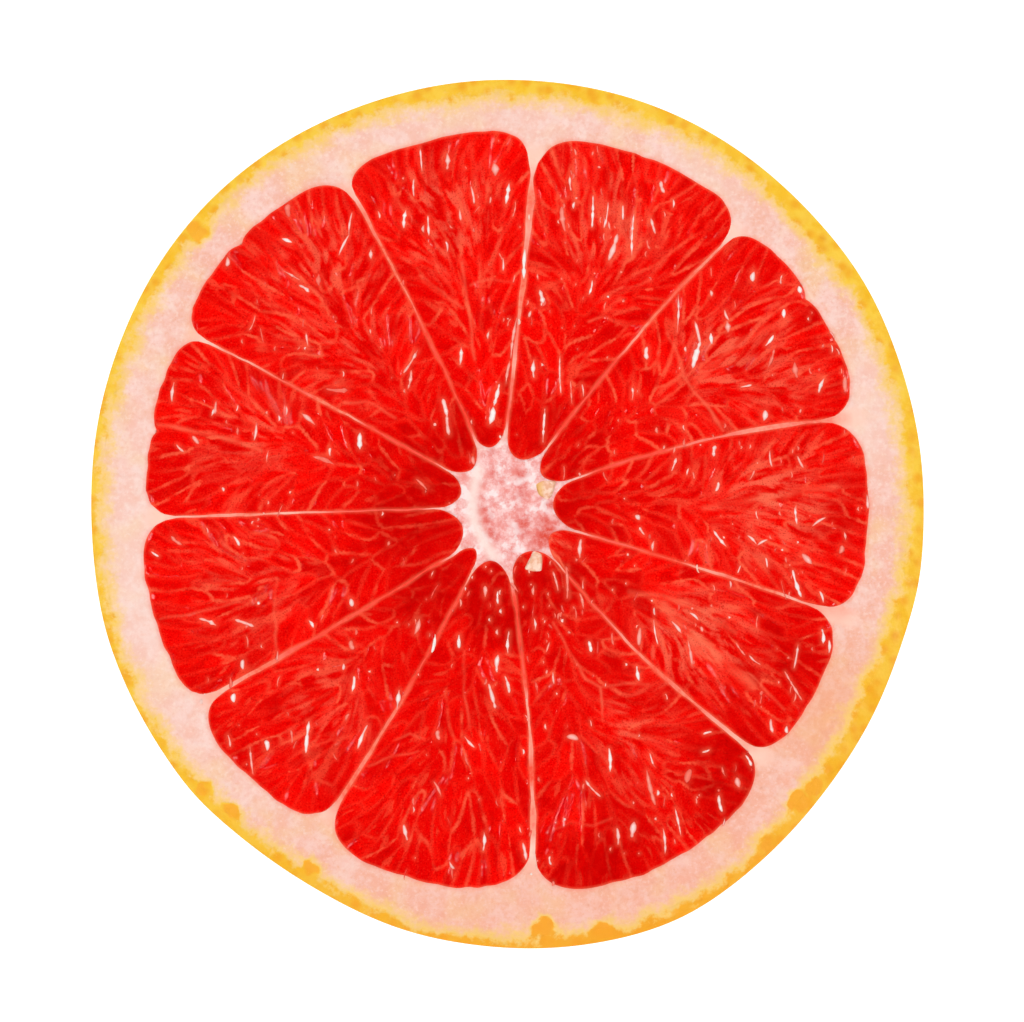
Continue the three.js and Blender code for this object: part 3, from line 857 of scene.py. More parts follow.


# ---------------------------------------------------------------- wet beads, painted white as highlights

HIGHLIGHT_BEAD_STROKES = [  # the larger beads: two pixels, width in pixels, whiteness, a painted highlight
    (420, 147, 422, 171, 2, 0.8), (447, 154, 447, 168, 5, 0.8), (494, 165, 495, 174, 6, 0.7),
    (509, 184, 506, 203, 4, 1.0), (414, 179, 414, 196, 2, 0.8), (406, 211, 404, 227, 4, 1.0),
    (428, 216, 429, 235, 2.5, 0.9), (471, 187, 474, 203, 3, 0.8), (446, 242, 447, 251, 3, 0.8),
    (503, 259, 503, 270, 3, 0.9), (525, 250, 524, 278, 3.5, 0.9), (517, 318, 511, 358, 3, 0.7),
    (510, 361, 506, 383, 2.5, 0.65), (499, 385, 494, 405, 4, 1.0), (493, 408, 490, 423, 5, 1.0),
    (461, 348, 460, 364, 3.5, 0.9), (371, 250, 371, 258, 4, 0.8), (352, 213, 349, 235, 2, 0.8),
    (349, 235, 339, 255, 2, 0.8), (283, 239, 291, 242, 4, 1.0), (227, 258, 227, 265, 5, 0.8),
    (300, 286, 308, 291, 5, 0.9), (284, 271, 300, 280, 2, 0.7), (319, 276, 319, 284, 6, 0.5),
    (288, 206, 289, 215, 6, 0.5), (306, 333, 308, 346, 2, 0.7), (417, 351, 404, 372, 4, 0.8),
    (411, 371, 408, 388, 3, 0.7), (443, 400, 447, 416, 5, 0.9), (447, 416, 449, 434, 4.5, 0.8),
    (328, 389, 346, 390, 6, 0.5), (360, 434, 360, 448, 5, 1.0), (302, 414, 314, 424, 3.5, 0.7),
    (314, 457, 333, 464, 4, 0.5), (417, 480, 426, 489, 4, 0.6), (330, 449, 330, 455, 4, 0.9),
    (562, 208, 565, 230, 5, 0.6), (570, 176, 571, 190, 2.5, 0.8), (593, 196, 592, 227, 3, 1.0),
    (608, 203, 604, 227, 3, 0.9), (617, 235, 609, 259, 5, 0.8), (623, 206, 623, 219, 3, 0.9),
    (634, 214, 632, 256, 2.5, 0.9), (661, 182, 664, 192, 4, 0.8), (651, 219, 655, 233, 3, 0.8),
    (673, 200, 673, 207, 3, 0.9), (592, 281, 589, 294, 3, 1.0), (540, 291, 543, 302, 5, 0.9),
    (560, 356, 561, 393, 2, 0.8), (534, 361, 534, 377, 4, 0.9), (545, 409, 543, 442, 2.5, 0.9),
    (582, 385, 583, 396, 3, 0.8), (678, 294, 677, 332, 2, 0.8), (695, 322, 700, 343, 3, 0.8),
    (700, 343, 693, 367, 5.5, 1.0), (647, 348, 647, 358, 5, 0.9), (711, 334, 712, 343, 3.5, 1.0),
    (727, 322, 728, 331, 5, 0.7), (632, 388, 632, 399, 3, 0.8), (773, 336, 766, 345, 3.5, 1.0),
    (784, 310, 784, 317, 3.5, 1.0), (754, 273, 753, 280, 5, 0.9), (782, 276, 781, 283, 3, 0.8),
    (799, 287, 800, 292, 4, 1.0), (830, 332, 834, 339, 3, 0.8), (836, 349, 839, 354, 3, 0.8),
    (845, 376, 845, 391, 4, 0.6), (824, 379, 819, 392, 3, 0.9), (795, 364, 797, 376, 6, 0.6),
    (741, 387, 751, 385, 3, 0.9), (765, 412, 764, 419, 6, 0.9), (774, 349, 768, 367, 2.5, 0.5),
    (676, 459, 672, 470, 4, 0.9), (715, 447, 714, 455, 5, 0.9), (770, 451, 772, 466, 2.5, 0.8),
    (798, 457, 803, 467, 4, 0.8), (754, 471, 750, 479, 3, 0.7), (718, 483, 716, 490, 4.5, 0.9),
    (636, 516, 639, 519, 4, 0.8), (640, 528, 644, 534, 3.5, 0.8), (654, 542, 653, 550, 4, 0.8),
    (714, 531, 726, 546, 3, 0.9), (766, 559, 767, 566, 5, 1.0), (748, 536, 756, 544, 2.5, 0.8),
    (758, 545, 767, 540, 2.5, 0.8), (795, 508, 797, 524, 2.5, 0.9), (825, 518, 813, 526, 2.5, 0.8),
    (793, 571, 801, 596, 4, 1.0), (803, 555, 811, 563, 5, 0.7), (820, 592, 823, 602, 3, 0.9),
    (842, 547, 840, 552, 5, 0.6), (867, 495, 868, 508, 3, 0.8), (581, 540, 580, 557, 4, 0.8),
    (654, 620, 658, 644, 2.5, 0.9), (640, 629, 639, 644, 5, 0.7), (672, 622, 681, 633, 3, 0.8),
    (691, 614, 697, 619, 6, 1.0), (688, 641, 692, 664, 3, 0.7), (637, 667, 639, 680, 3.5, 1.0),
    (750, 656, 760, 664, 2.5, 0.8), (736, 643, 745, 655, 1.8, 0.6), (798, 645, 794, 668, 2.5, 0.8),
    (822, 630, 823, 643, 3.5, 1.0), (829, 641, 829, 652, 3, 0.9), (785, 672, 802, 700, 2.5, 0.7),
    (771, 720, 773, 732, 3.5, 0.8), (787, 727, 787, 732, 4, 0.9), (589, 642, 591, 651, 4, 1.0),
    (534, 619, 535, 629, 3, 0.9), (609, 749, 610, 771, 3.5, 1.0), (650, 754, 653, 764, 3, 0.9),
    (647, 771, 655, 804, 4, 0.6), (586, 781, 600, 796, 3, 0.8), (634, 823, 632, 836, 5, 0.8),
    (617, 829, 618, 844, 3.5, 0.8), (663, 829, 665, 853, 2.5, 0.8), (675, 808, 681, 836, 2, 0.8),
    (690, 771, 687, 781, 6, 0.5), (719, 796, 722, 811, 3.5, 0.9), (737, 779, 739, 786, 5, 0.7),
    (746, 756, 751, 765, 3.5, 1.0), (568, 737, 577, 739, 5, 0.7), (704, 734, 711, 732, 3, 0.9),
    (703, 752, 709, 750, 3, 0.9), (550, 857, 551, 864, 3, 0.9), (498, 592, 498, 603, 3.5, 1.0),
    (485, 587, 485, 596, 4, 0.7), (419, 620, 415, 633, 5, 0.7), (435, 635, 432, 652, 3, 0.9),
    (459, 636, 459, 647, 4.5, 1.0), (509, 632, 508, 653, 3, 0.9), (498, 656, 497, 671, 5, 0.9),
    (489, 685, 495, 707, 5, 0.9), (505, 677, 509, 692, 4, 0.9), (354, 677, 352, 691, 3.5, 1.0),
    (399, 691, 397, 709, 4, 0.9), (367, 726, 358, 748, 3.5, 0.9), (438, 732, 439, 738, 6, 0.7),
    (404, 826, 407, 839, 5, 0.9), (434, 782, 441, 796, 2, 0.6), (484, 833, 483, 850, 3, 0.9),
    (523, 844, 526, 859, 4.5, 0.9), (465, 737, 474, 747, 2.5, 0.8), (450, 862, 454, 868, 3, 0.8),
    (309, 722, 306, 752, 4, 1.0), (291, 731, 292, 742, 3, 0.6), (266, 742, 267, 749, 6, 1.0),
    (228, 736, 230, 746, 3.5, 0.8), (250, 747, 253, 774, 2, 0.7), (234, 695, 234, 701, 5, 1.0),
    (243, 661, 243, 668, 5, 0.9), (236, 620, 253, 626, 4, 0.8), (200, 619, 215, 625, 4, 0.8),
    (309, 621, 313, 627, 3, 0.9), (351, 600, 352, 605, 5.5, 0.9), (351, 642, 353, 648, 5, 0.6),
    (174, 383, 172, 401, 3, 0.8), (216, 402, 215, 413, 3, 0.7), (286, 407, 286, 414, 4, 0.9),
    (256, 423, 254, 440, 2.5, 0.8), (193, 437, 198, 443, 4, 0.7), (177, 445, 183, 451, 3, 0.8),
    (172, 537, 181, 544, 4, 0.6), (152, 552, 158, 556, 3, 1.0), (234, 537, 239, 545, 3, 0.9),
    (566, 567, 567, 598, 3, 0.6), (553, 572, 558, 590, 2.5, 0.7), (473, 458, 474, 463, 6, 0.7),
]
HIGHLIGHT_BEAD_CROWDS = [  # pixel, radius, number: where small beads, painted as highlights, crowd
    ((612, 215), 7, 14), ((640, 250), 5, 6), ((440, 200), 8, 8), ((500, 620), 7, 7), ((505, 690), 5, 5),
    ((630, 800), 7, 10), ((730, 790), 4, 10), ((560, 860), 5, 8), ((790, 480), 8, 12), ((805, 560), 5, 8),
    ((820, 350), 4, 8), ((650, 640), 5, 8), ((245, 450), 7, 10), ((250, 720), 6, 12), ((440, 860), 6, 8),
    ((560, 585), 4, 14), ((790, 680), 4, 8), ((518, 300), 3, 10), ((235, 290), 5, 6), ((585, 180), 4, 6),
    ((465, 600), 3, 5), ((548, 605), 3, 6), ((500, 595), 3, 2), ((700, 560), 6, 8), ((690, 800), 5, 8),
]
HIGHLIGHT_BEADS_ANYWHERE = 230
FLECK_SEED = 3
FLECK_SIDES = 8
FLECK_GIRTH = 0.9
# reach of the painted highlight glow round a bead, in millimetres, beyond its half width
HIGHLIGHT_HALO = 0.16


def gather_highlight_beads():
    """All beads as starts, ends, widths and whitenesses, the whiteness being painted highlight."""
    random = np.random.default_rng(FLECK_SEED)
    strokes = np.array(HIGHLIGHT_BEAD_STROKES)
    starts = list(at_pixel((strokes[:, 0], strokes[:, 1])))
    ends = list(at_pixel((strokes[:, 2], strokes[:, 3])))
    widths = list(strokes[:, 4] / PIXELS_PER_MM)
    whiteness = list(strokes[:, 5])
    crowds = [*HIGHLIGHT_BEAD_CROWDS, (AXIS_PIXEL, 30, HIGHLIGHT_BEADS_ANYWHERE)]
    for pixel, radius, count in crowds:
        from_middle = radius * np.sqrt(random.uniform(0, 1.6, count))
        middles = at_pixel(pixel) + polar(from_middle, random.uniform(0, 360, count))
        lengths = 0.05 + random.gamma(1.2, 0.35, count)
        halves = lengths / 2 * polar(1, 90 + random.normal(0, 14, count))
        starts.extend(middles - halves)
        ends.extend(middles + halves)
        widths.extend(random.uniform(0.14, 0.32, count))
        # whiteness: how white each small bead is painted as a highlight
        whiteness.extend(random.uniform(0.25, 0.88, count))
    return np.array(starts), np.array(ends), np.array(widths), np.array(whiteness)


def add_highlight_bead(mesh, start, end, width, level, seed):
    """A bead of juice along a short line, as a closed body sunk into the flesh that level() gives
    the height of. Returns its points and how white each is painted, as a highlight, whiter up its side."""
    sections = 5 + int(abs(end - start) / 0.25)
    along = np.sin(np.linspace(1.4, -1.4, sections))
    onward = (end - start) / abs(end - start)
    uneven = noise(along * abs(end - start) * 1.3 + 1j * seed, 1, 90)
    half = FLECK_GIRTH * width / 2 * np.sqrt(1 - along**2) * (1 + 0.6 * uneven)
    sag = 0.12 * (1 - along**2) * math.sin(seed)
    spine = lerp(start, end, (along + 1) / 2) + onward * (0.3 * width * along + 1j * sag)
    around = np.radians(np.arange(FLECK_SIDES) * 360 / FLECK_SIDES)
    up = np.sin(around)
    plan = spine[:, None] + 1j * onward * half[:, None] * np.cos(around)
    height = level(spine)[:, None] + half[:, None] * np.where(up > 0, 0.55, 1.2) * up
    numbers = mesh.spindle(plan, height)
    patchy = (1 - 0.35 * along**4) * (0.92 + 0.12 * uneven)
    return numbers, lerp(0.45, 1, np.clip(up, 0, 1)) * patchy[:, None]


def each_highlight_bead(held):
    """Number, start, end, width and painted highlight whiteness of each bead that is held."""
    for number in np.flatnonzero(held):
        yield number, *(part[number] for part in HIGHLIGHT_BEADS)


def painted_highlight_halos(points, held):
    """Painted highlight glow in the flesh round the beads that are held."""
    field = np.zeros(len(points))
    for _, start, end, width, white in each_highlight_bead(held):
        field = np.maximum(field, white * bell(from_stretch(points, start, end), width / 2 + HIGHLIGHT_HALO))
    return field


def add_highlight_beads(mesh, held, level):
    """Adds the beads that are held and returns how white each of the mesh's points is painted as a
    highlight.
    """
    marked = []
    for number, start, end, width, white in each_highlight_bead(held):
        points, share = add_highlight_bead(mesh, start, end, width, level, number)
        marked.append((points.ravel(), white * share.ravel()))
    glint = np.zeros(mesh.count)
    for points, share in marked:
        glint[points] = share
    return glint


# beads of juice, and how white each is painted as a highlight
HIGHLIGHT_BEADS = gather_highlight_beads()
HIGHLIGHT_BEAD_MIDDLES = (HIGHLIGHT_BEADS[0] + HIGHLIGHT_BEADS[1]) / 2

# ---------------------------------------------------------------- pulp

SEGMENT_RINGS = 4
ROW_STEP = 0.165
OUTER_STEP = 0.16
FACE_DROP = 0.08  # level of the grooves between sacs, below the cut face
EDGE_FALL = 0.03
FACE_ZONES = [(11, 4), (22, 2)]  # inside each radius the rows have so many times fewer columns


def face_grid(segment):
    """Points over a segment's cut face in rows, and how far each is from the edge."""
    depth = segment.mean_reach - segment.shape.tip
    columns = 4 * round(segment.width(40.0) / OUTER_STEP / 4)
    rows, plans, edges = [], [], []
    count = 0
    for outwards in np.linspace(0, 1, int(depth / ROW_STEP) + 1):
        level = lerp(segment.shape.tip, segment.mean_reach, outwards)
        across = spread(np.linspace(-1, 1, columns // fewer_columns(level, FACE_ZONES) + 1))
        radius = segment.radius(across, outwards)
        to_side = (1 - abs(across)) * segment.width(radius) / 2
        to_end = np.minimum(radius - segment.tip(across), segment.reach(across) - radius)
        rows.append(count + np.arange(len(across)))
        plans.append(segment.plan(radius, across))
        edges.append(np.minimum(to_side, to_end))
        count += len(across)
    return rows, np.concatenate(plans), np.concatenate(edges)


def edge_ring(rows):
    """Numbers of the points round the edge of a face, counter-clockwise."""
    right, left = [row[0] for row in rows], [row[-1] for row in rows]
    return np.concatenate([right, rows[-1][1:-1], left[::-1], rows[0][-2:0:-1]]).astype(int)


def tints(points, sacs, cell, dome):
    """How pale and how deep in colour the flesh is, from 0 to 1."""
    pale = spots(points, PALE_SPOTS)
    deep = spots(points, DEEP_SPOTS) + 0.3 * smoothstep(17, 8, abs(points - CORE))
    deep = deep + 0.5 * smoothstep(0.7, 1, sacs.hues[cell.own]) * dome + 0.25 * noise(points, 3, 33)
    # darker towards the bottom (-y) and a little towards +x
    deep = deep + 0.17 * smoothstep(5, -20, points.imag) + 0.06 * smoothstep(5, 20, points.real)
    return np.clip(pale, 0, 1), np.clip(deep * (1 - pale), 0, 1)


def make_pulp(segment, material):
    sacs = Sacs(segment, np.random.default_rng(100 + segment.index))
    rows, points, edge = face_grid(segment)
    points = sacs.gather(points, smoothstep(0.02, 0.3, edge))
    cell = sacs.measure(points)
    height, dome = sacs.relief(points, cell)
    veins = vein_field(points)
    pale, deep = tints(points, sacs, cell, dome)
    calm = smoothstep(0, 0.9, edge) * (1 - 0.5 * deep)

    mesh = Mesh()
    mesh.add(points, CUT - FACE_DROP + (height + 0.05 * veins) * calm - EDGE_FALL * bell(edge, 0.3))
    for inner, outer in zip(rows, rows[1:]):
        if len(inner) == len(outer):
            mesh.bridge(outer, inner)
        else:  # a known fault: with the rows this way round, these few triangles face down
            mesh.bridge(inner, outer)
    ring = edge_ring(rows)
    depth = FULL_DEPTH - RIND_THICKNESS
    mesh.wall(ring, points[ring], segment.pivot, depth, SEGMENT_RINGS, SEGMENT_END_WIDTH)

    def level(spine):
        return CUT - FACE_DROP + sacs.relief(spine, sacs.measure(spine))[0]

    held = inside(HIGHLIGHT_BEAD_MIDDLES, segment.outline())
    # the beads' white is painted highlight
    glint = add_highlight_beads(mesh, held, level)
    light = np.maximum(0.5 * bell(edge, 0.18) * (0.8 + 0.4 * noise(points, 1.0, 56)), veins)
    # painted highlight glow round the beads, carried in the light attribute
    light = np.maximum(light, 0.36 * painted_highlight_halos(points, held))
    strength = sacs.drawn[cell.own, cell.next_one] * (0.62 + 0.75 * noise(points, 0.9, 35))
    fields = {
        "grain": np.stack([cell.ahead, cell.aside, 3.7 * cell.own], 1),
        "dome": dome,
        "border": np.clip(cell.distance, 0, 1),
        "strength": np.clip(strength, 0, 1),
        "dim": np.clip(0.55 + 0.6 * noise(points, 2.2, 39), 0, 1),
        "ripple": ripples(segment, points),
        "light": np.clip(light, 0, 1),
        "tone": np.clip(sacs.tones[cell.own] + 0.2 * noise(points, 1.2, 34), 0, 1),
        "deep": deep,
        "pale": pale,
        "glint": glint,
    }
    mesh.make(f"pulp_flesh_{segment.name}", f"pulp_{segment.name}", material, fields)


# ---------------------------------------------------------------- pith

RIND_COLUMNS = 720
PITH_STEP = 0.24  # between the points of the pith's face
BORDER_CLEARANCE = 0.13  # between the segments' outlines and the first points of the pith off them
RIM_CLEARANCE = 0.15  # between the peel and the first points of the pith off it
RIM_SLACK = 0.1  # triangles whose middle lies this far into the peel are left out
WALL_RINGS = 8
LAYER_GAP = 0.02  # between the pith and the peel round it
POCKET_GAP = 0.05  # between a segment's end and the pith under it
CORE_REACH = 8
MEMBRANE_REACH = 43
SEAM_OVERLAP = 0.04  # the pith reaches this far under the peel's edge, so that no gap shows
CORE_STAINS = [
    ((479, 484), 0.5, 0.6), ((480, 497), 0.5, 0.5), ((482, 510), 0.7, 1.0), ((486, 520), 0.8, 0.9),
    ((491, 533), 0.8, 0.9), ((495, 541), 0.5, 0.6), ((493, 472), 0.6, 0.5), ((503, 479), 0.5, 0.4),
    ((521, 474), 0.7, 0.9), ((521, 493), 1.0, 0.7), ((517, 508), 0.6, 0.4), ((523, 523), 1.0, 0.8),
    ((527, 534), 0.8, 0.6), ((543, 520), 0.8, 0.4), ((552, 505), 0.7, 0.9), ((548, 535), 1.8, 1.0),
    ((541, 530), 1.4, 0.4), ((540, 546), 1.0, 0.5), ((510, 552), 0.8, 0.3), ((492, 451), 0.6, 0.6),
]
CORE_CREAM = [(478, 470), (472, 498), (474, 522), (484, 543), (494, 557)]
ZEST_CHANGES = [  # direction, width in degrees, how much thicker the yellow layer is there
    (42, 7, 0.5), (92, 26, 0.5), (147, 9, 0.5), (-26, 14, 0.9), (3, 9, 0.2), (180, 10, 0.15),
    (-127, 15, 0.35), (-98, 8, -0.3),
]
WARM_SIDES = [(-78, 45, 0.35)]  # directions, widths in degrees and strengths of the pith's tints
TAN_SIDES = [(-31, 10, 0.45)]
FAIR_SIDES = [(-168, 28, 0.4), (15, 9, 0.4), (60, 8, 0.3), (98, 22, 0.25)]
ZEST_BLOBS = [  # pixel, radius, strength: places where the yellow shows deeper in
    ((799, 801), 1.15, 1.0), ((815, 787), 0.8, 0.8), ((768, 848), 0.9, 0.7), ((605, 930), 1.0, 0.8),
    ((545, 925), 1.2, 0.8), ((197, 232), 1.1, 0.8), ((202, 788), 0.8, 0.7), ((231, 811), 0.8, 0.6),
    ((311, 867), 1.0, 0.7),
]


def inside(points, loop):
    """Which points lie inside a closed outline."""
    answer = np.zeros(len(points), bool)
    box = (points.real > loop.real.min()) & (points.real < loop.real.max())
    box &= (points.imag > loop.imag.min()) & (points.imag < loop.imag.max())
    held = points[box]
    odd = np.zeros(len(held), bool)
    for start, end in zip(loop, np.roll(loop, -1)):
        crosses = (start.imag > held.imag) != (end.imag > held.imag)
        rise = end.imag - start.imag
        meet = start.real + (held.imag - start.imag) * (end.real - start.real) / (rise if rise else 1)
        odd ^= crosses & (held.real < meet)
    answer[box] = odd
    return answer


def outside(points, loops):
    """Which points lie inside none of the outlines."""
    return ~np.any([inside(points, loop) for loop in loops], 0)


def inner_rim(degrees):
    return rim_radius(degrees) - SKIN_INSET - zest_thickness(degrees)


def cut_fields(points):
    """What the cut rind's colours follow: depth below the skin, the yellow layer's thickness and tints."""
    degrees = direction(points)
    thickness = zest_thickness(degrees) + swells(degrees, ZEST_CHANGES)
    ragged = points + 0.4 * (noise(points, 0.7, 53) + 1j * noise(points, 0.7, 54))
    thickness = thickness + 5 * spots(ragged, ZEST_BLOBS)
    depth = rim_radius(degrees) - SKIN_INSET - abs(points)
    fibre = noise(degrees * 0.9 + 1j * depth * 0.35, 1, 51) * 0.6 + noise(points, 0.6, 52) * 0.4
    return {
        "depth": depth, "zest": thickness, "fibre": fibre,
        "warmth": swells(degrees, WARM_SIDES), "tan": swells(degrees, TAN_SIDES),
        "fair": swells(degrees, FAIR_SIDES),
    }


def pith_plan(rim, loops):
    """Points and triangles of the pith seen from above, between its rim and the segments' outlines, and
    the numbers of the points along the rim and along each outline."""
    borders = np.concatenate([rim, *loops])
    reach = RIM_RADIUS + 2
    grid = np.arange(-reach, reach, PITH_STEP)
    lattice = (grid[:, None] * 1j + grid).ravel()
    lattice = lattice + PITH_STEP * 0.25 * (noise(lattice, 0.3, 61) + 1j * noise(lattice, 0.3, 62))
    lattice = lattice[abs(lattice) < inner_rim(direction(lattice)) - RIM_CLEARANCE]
    lattice = lattice[outside(lattice, loops)]
    lattice = lattice[distance_in_plan(lattice, borders) > BORDER_CLEARANCE]

    plan = np.concatenate([borders, lattice])
    starts = np.cumsum([0, len(rim), *map(len, loops)])
    rings = [range(start, end) for start, end in zip(starts.tolist(), starts[1:].tolist())]
    edges = [pair for ring in rings for pair in zip(ring, [*ring[1:], ring[0]])]
    coordinates = [(point.real, point.imag) for point in plan]
    made, _, faces, origins, _, _ = delaunay_2d_cdt(coordinates, edges, [], 0, 1e-6)
    plan = np.array([complex(point.x, point.y) for point in made])
    faces = np.array(faces)
    made_of = {source: number for number, sources in enumerate(origins) for source in sources}
    middles = plan[faces].mean(1)
    keep = (abs(middles) < inner_rim(direction(middles)) + RIM_SLACK) & outside(middles, loops)
    return plan, faces[keep], [np.array([made_of[number] for number in ring]) for ring in rings]


def pith_relief(plan, core, to_pocket):
    """Height above the cut: a little uneven, sunk in the core and flush with the peel at the seam."""
    height = 0.08 * noise(plan, 2.2, 63) + 0.05 * noise(plan, 0.7, 64)
    height = height * smoothstep(0, 0.5, to_pocket) - 0.05 * bell(to_pocket, 0.25)
    height = height + core * (0.1 * noise(plan, 1.2, 65) - 0.1)
    to_seam = inner_rim(direction(plan)) - abs(plan)
    return lerp(-0.03, np.minimum(height, 0.2) - 0.05, smoothstep(0, 1.2, to_seam))


def pith_fields(plan, core, to_pocket):
    """What the colours of the core and the membranes follow."""
    from_core = abs(plan - CORE)
    strand, whiteness, faintness = strand_field(plan)
    thinning = smoothstep(-0.2, 0.7, noise(plan, 5, 66)) * smoothstep(40, 28, from_core)
    faint = (0.9 - 0.6 * whiteness) * thinning + 0.78 * faintness
    bright = 0.8 * smoothstep(36, 43, from_core) + 0.8 * smoothstep(11, 8, from_core) + 0.6 * whiteness
    return {
        "blush": 0.5 * bell(to_pocket, 0.3) * (1 - strand),
        "core": core,
        "stain": np.clip(1.3 * spots(plan, CORE_STAINS), 0, 1),
        "cream": 0.85 * bell(along_line(plan, CORE_CREAM), 0.75),
        "strand": strand,
        "faint": strand * np.clip(faint, 0, 0.85),
        "bright": np.clip(bright - 0.1 + 0.4 * noise(plan, 2.2, 67), 0, 1),
    }


def make_pith(material):
    degrees = even_directions(RIND_COLUMNS)
    rim = polar(inner_rim(degrees) + SEAM_OVERLAP, degrees)
    loops = [segment.outline() for segment in segments]
    plan, faces, (rim_ring, *pocket_rings) = pith_plan(rim, loops)
    core = smoothstep(9.5, 6.5, abs(plan - CORE))
    to_pocket = distance_in_plan(plan, np.concatenate(loops))

    mesh = Mesh()
    mesh.add(plan, CUT + pith_relief(plan, core, to_pocket))
    mesh.triangles.append(faces)
    skin = ZEST_THICKNESS + SKIN_INSET + LAYER_GAP
    mesh.wall(rim_ring, plan[rim_ring], 0, FULL_DEPTH - skin, WALL_RINGS, FOOT_RADIUS / RIM_RADIUS)
    for segment, ring in zip(segments, pocket_rings):
        depth = FULL_DEPTH - RIND_THICKNESS + POCKET_GAP
        mesh.wall(ring, plan[ring], segment.pivot, depth, SEGMENT_RINGS, SEGMENT_END_WIDTH, faces_in=True)

    from_axis = abs(HIGHLIGHT_BEAD_MIDDLES)
    held = (from_axis > CORE_REACH) & (from_axis < MEMBRANE_REACH) & outside(HIGHLIGHT_BEAD_MIDDLES, loops)
    # beads on the pith, painted white as highlights
    glint = add_highlight_beads(mesh, held, lambda spine: np.full(len(spine), CUT - 0.05))
    fields = {**cut_fields(mesh.plan()), **pith_fields(plan, core, to_pocket), "glint": glint}
    mesh.make("pith_body", "pith", material, fields)


def strand_field(points):
    """1 on the thin membranes between the segments and 0 on the rind and the core, and how white
    and how faint the membrane there is."""
    field, whiteness, faintness = np.zeros((3, len(points)))
    radius = abs(points - CORE)
    for membrane in MEMBRANES[:-1]:
        near = smoothstep(1.6, 0.6, abs(points - beside_membrane(membrane, radius, 0)))
        whiteness = np.where(near > field, membrane.whiteness, whiteness)
        fading = smoothstep(membrane.clear_radius + 2, membrane.clear_radius - 5, radius)
        faintness = np.where(near > field, fading, faintness)
        field = np.maximum(field, near)
    field = field * smoothstep(8, 11, radius) * smoothstep(44, 41.5, radius)
    return field, whiteness, faintness * (1 - 0.3 * smoothstep(12, 9, radius))


# ---------------------------------------------------------------- peel

SKIN_RINGS = 132
SKIN_ZONES = [(0.12, 8), (0.26, 4), (0.56, 2)]  # inside each share of the rim, so many times fewer columns
PORE_STEP = 1.25
PORE_DEPTH = 0.09
PORE_WIDTH = 0.34
PORE_TINT = 0.6
PORE_SEED = 7
PORE_SKIN_RINGS, PORE_FOOT_RINGS = 60, 6  # a coarser skin, enough to spread the pores evenly
GOLDEN_RATIO = 0.618
SCAR_RADIUS = 2.4
SCAR_DEPTH = 0.25
FOOT_FLATNESS = 0.02  # height below which a point is on the foot
RIM_RINGS = 6
FOOT_RINGS = 20
INNERMOST_RING = 0.02  # as a share of the rim


def skin_profile(count):
    """Rings down the skin at even steps: drop and width as shares of the depth and the rim."""
    drop, width = profile_rings(4000, FOOT_RADIUS / RIM_RADIUS)
    steps = np.hypot(np.diff(drop * FULL_DEPTH), np.diff(width * RIM_RADIUS))
    walked = np.concatenate([[0], np.cumsum(steps)])
    even = np.linspace(0, walked[-1], count + 1)
    return np.interp(even, walked, drop), np.interp(even, walked, width)


def skin_rings(count, foot_count):
    """Rings down the skin and on over the foot, as skin_profile() gives them."""
    drop, width = skin_profile(count)
    foot = np.linspace(width[-1], INNERMOST_RING, foot_count)[1:]
    return np.append(drop, np.full(len(foot), drop[-1])), np.append(width, foot)


def skin_grid():
    """Rings down the skin to the middle of the foot: the numbers of each ring's points, and each point's
    plan position and height and, in the same two parts, the direction straight out of the skin."""
    drops, widths = skin_rings(SKIN_RINGS, FOOT_RINGS)
    rings, blocks = [], []
    count = 0
    for drop, width in zip(drops, widths):
        columns = RIND_COLUMNS // fewer_columns(width, SKIN_ZONES)
        degrees = even_directions(columns)
        out = width ** (PROFILE_POWER - 1) / RIM_RADIUS
        down = drop ** (PROFILE_POWER - 1) / FULL_DEPTH
        length = math.hypot(out, down)
        rings.append(count + np.arange(columns))
        blocks.append((
            polar((rim_radius(degrees) - SKIN_INSET) * width, degrees),
            np.full(columns, CUT - drop * FULL_DEPTH),
            polar(out / length, degrees),
            np.full(columns, -down / length),
        ))
        count += columns
    return rings, *(np.concatenate(part) for part in zip(*blocks))


def scattered_pores():
    """Oil pores over the skin, on a spiral with a little disorder."""
    random = np.random.default_rng(PORE_SEED)
    drops, widths = skin_rings(PORE_SKIN_RINGS, PORE_FOOT_RINGS)
    area_step = 2 * math.pi * widths[:-1] * RIM_RADIUS * np.hypot(
        np.diff(drops) * FULL_DEPTH, np.diff(widths) * RIM_RADIUS)
    grown = np.concatenate([[0], np.cumsum(area_step)])
    count = int(grown[-1] / PORE_STEP**2)
    at = np.interp((np.arange(count) + 0.5) / count * grown[-1], grown, np.arange(len(grown)))
    golden = 180 * (3 - math.sqrt(5))
    degrees = np.arange(count) * golden + random.uniform(-0.4, 0.4, count)
    width = np.interp(at + random.uniform(-0.3, 0.3, count), np.arange(len(widths)), widths)
    drop = np.interp(at, np.arange(len(drops)), drops)
    return points_3d(polar(rim_radius(degrees) * width, degrees), CUT - drop * FULL_DEPTH)


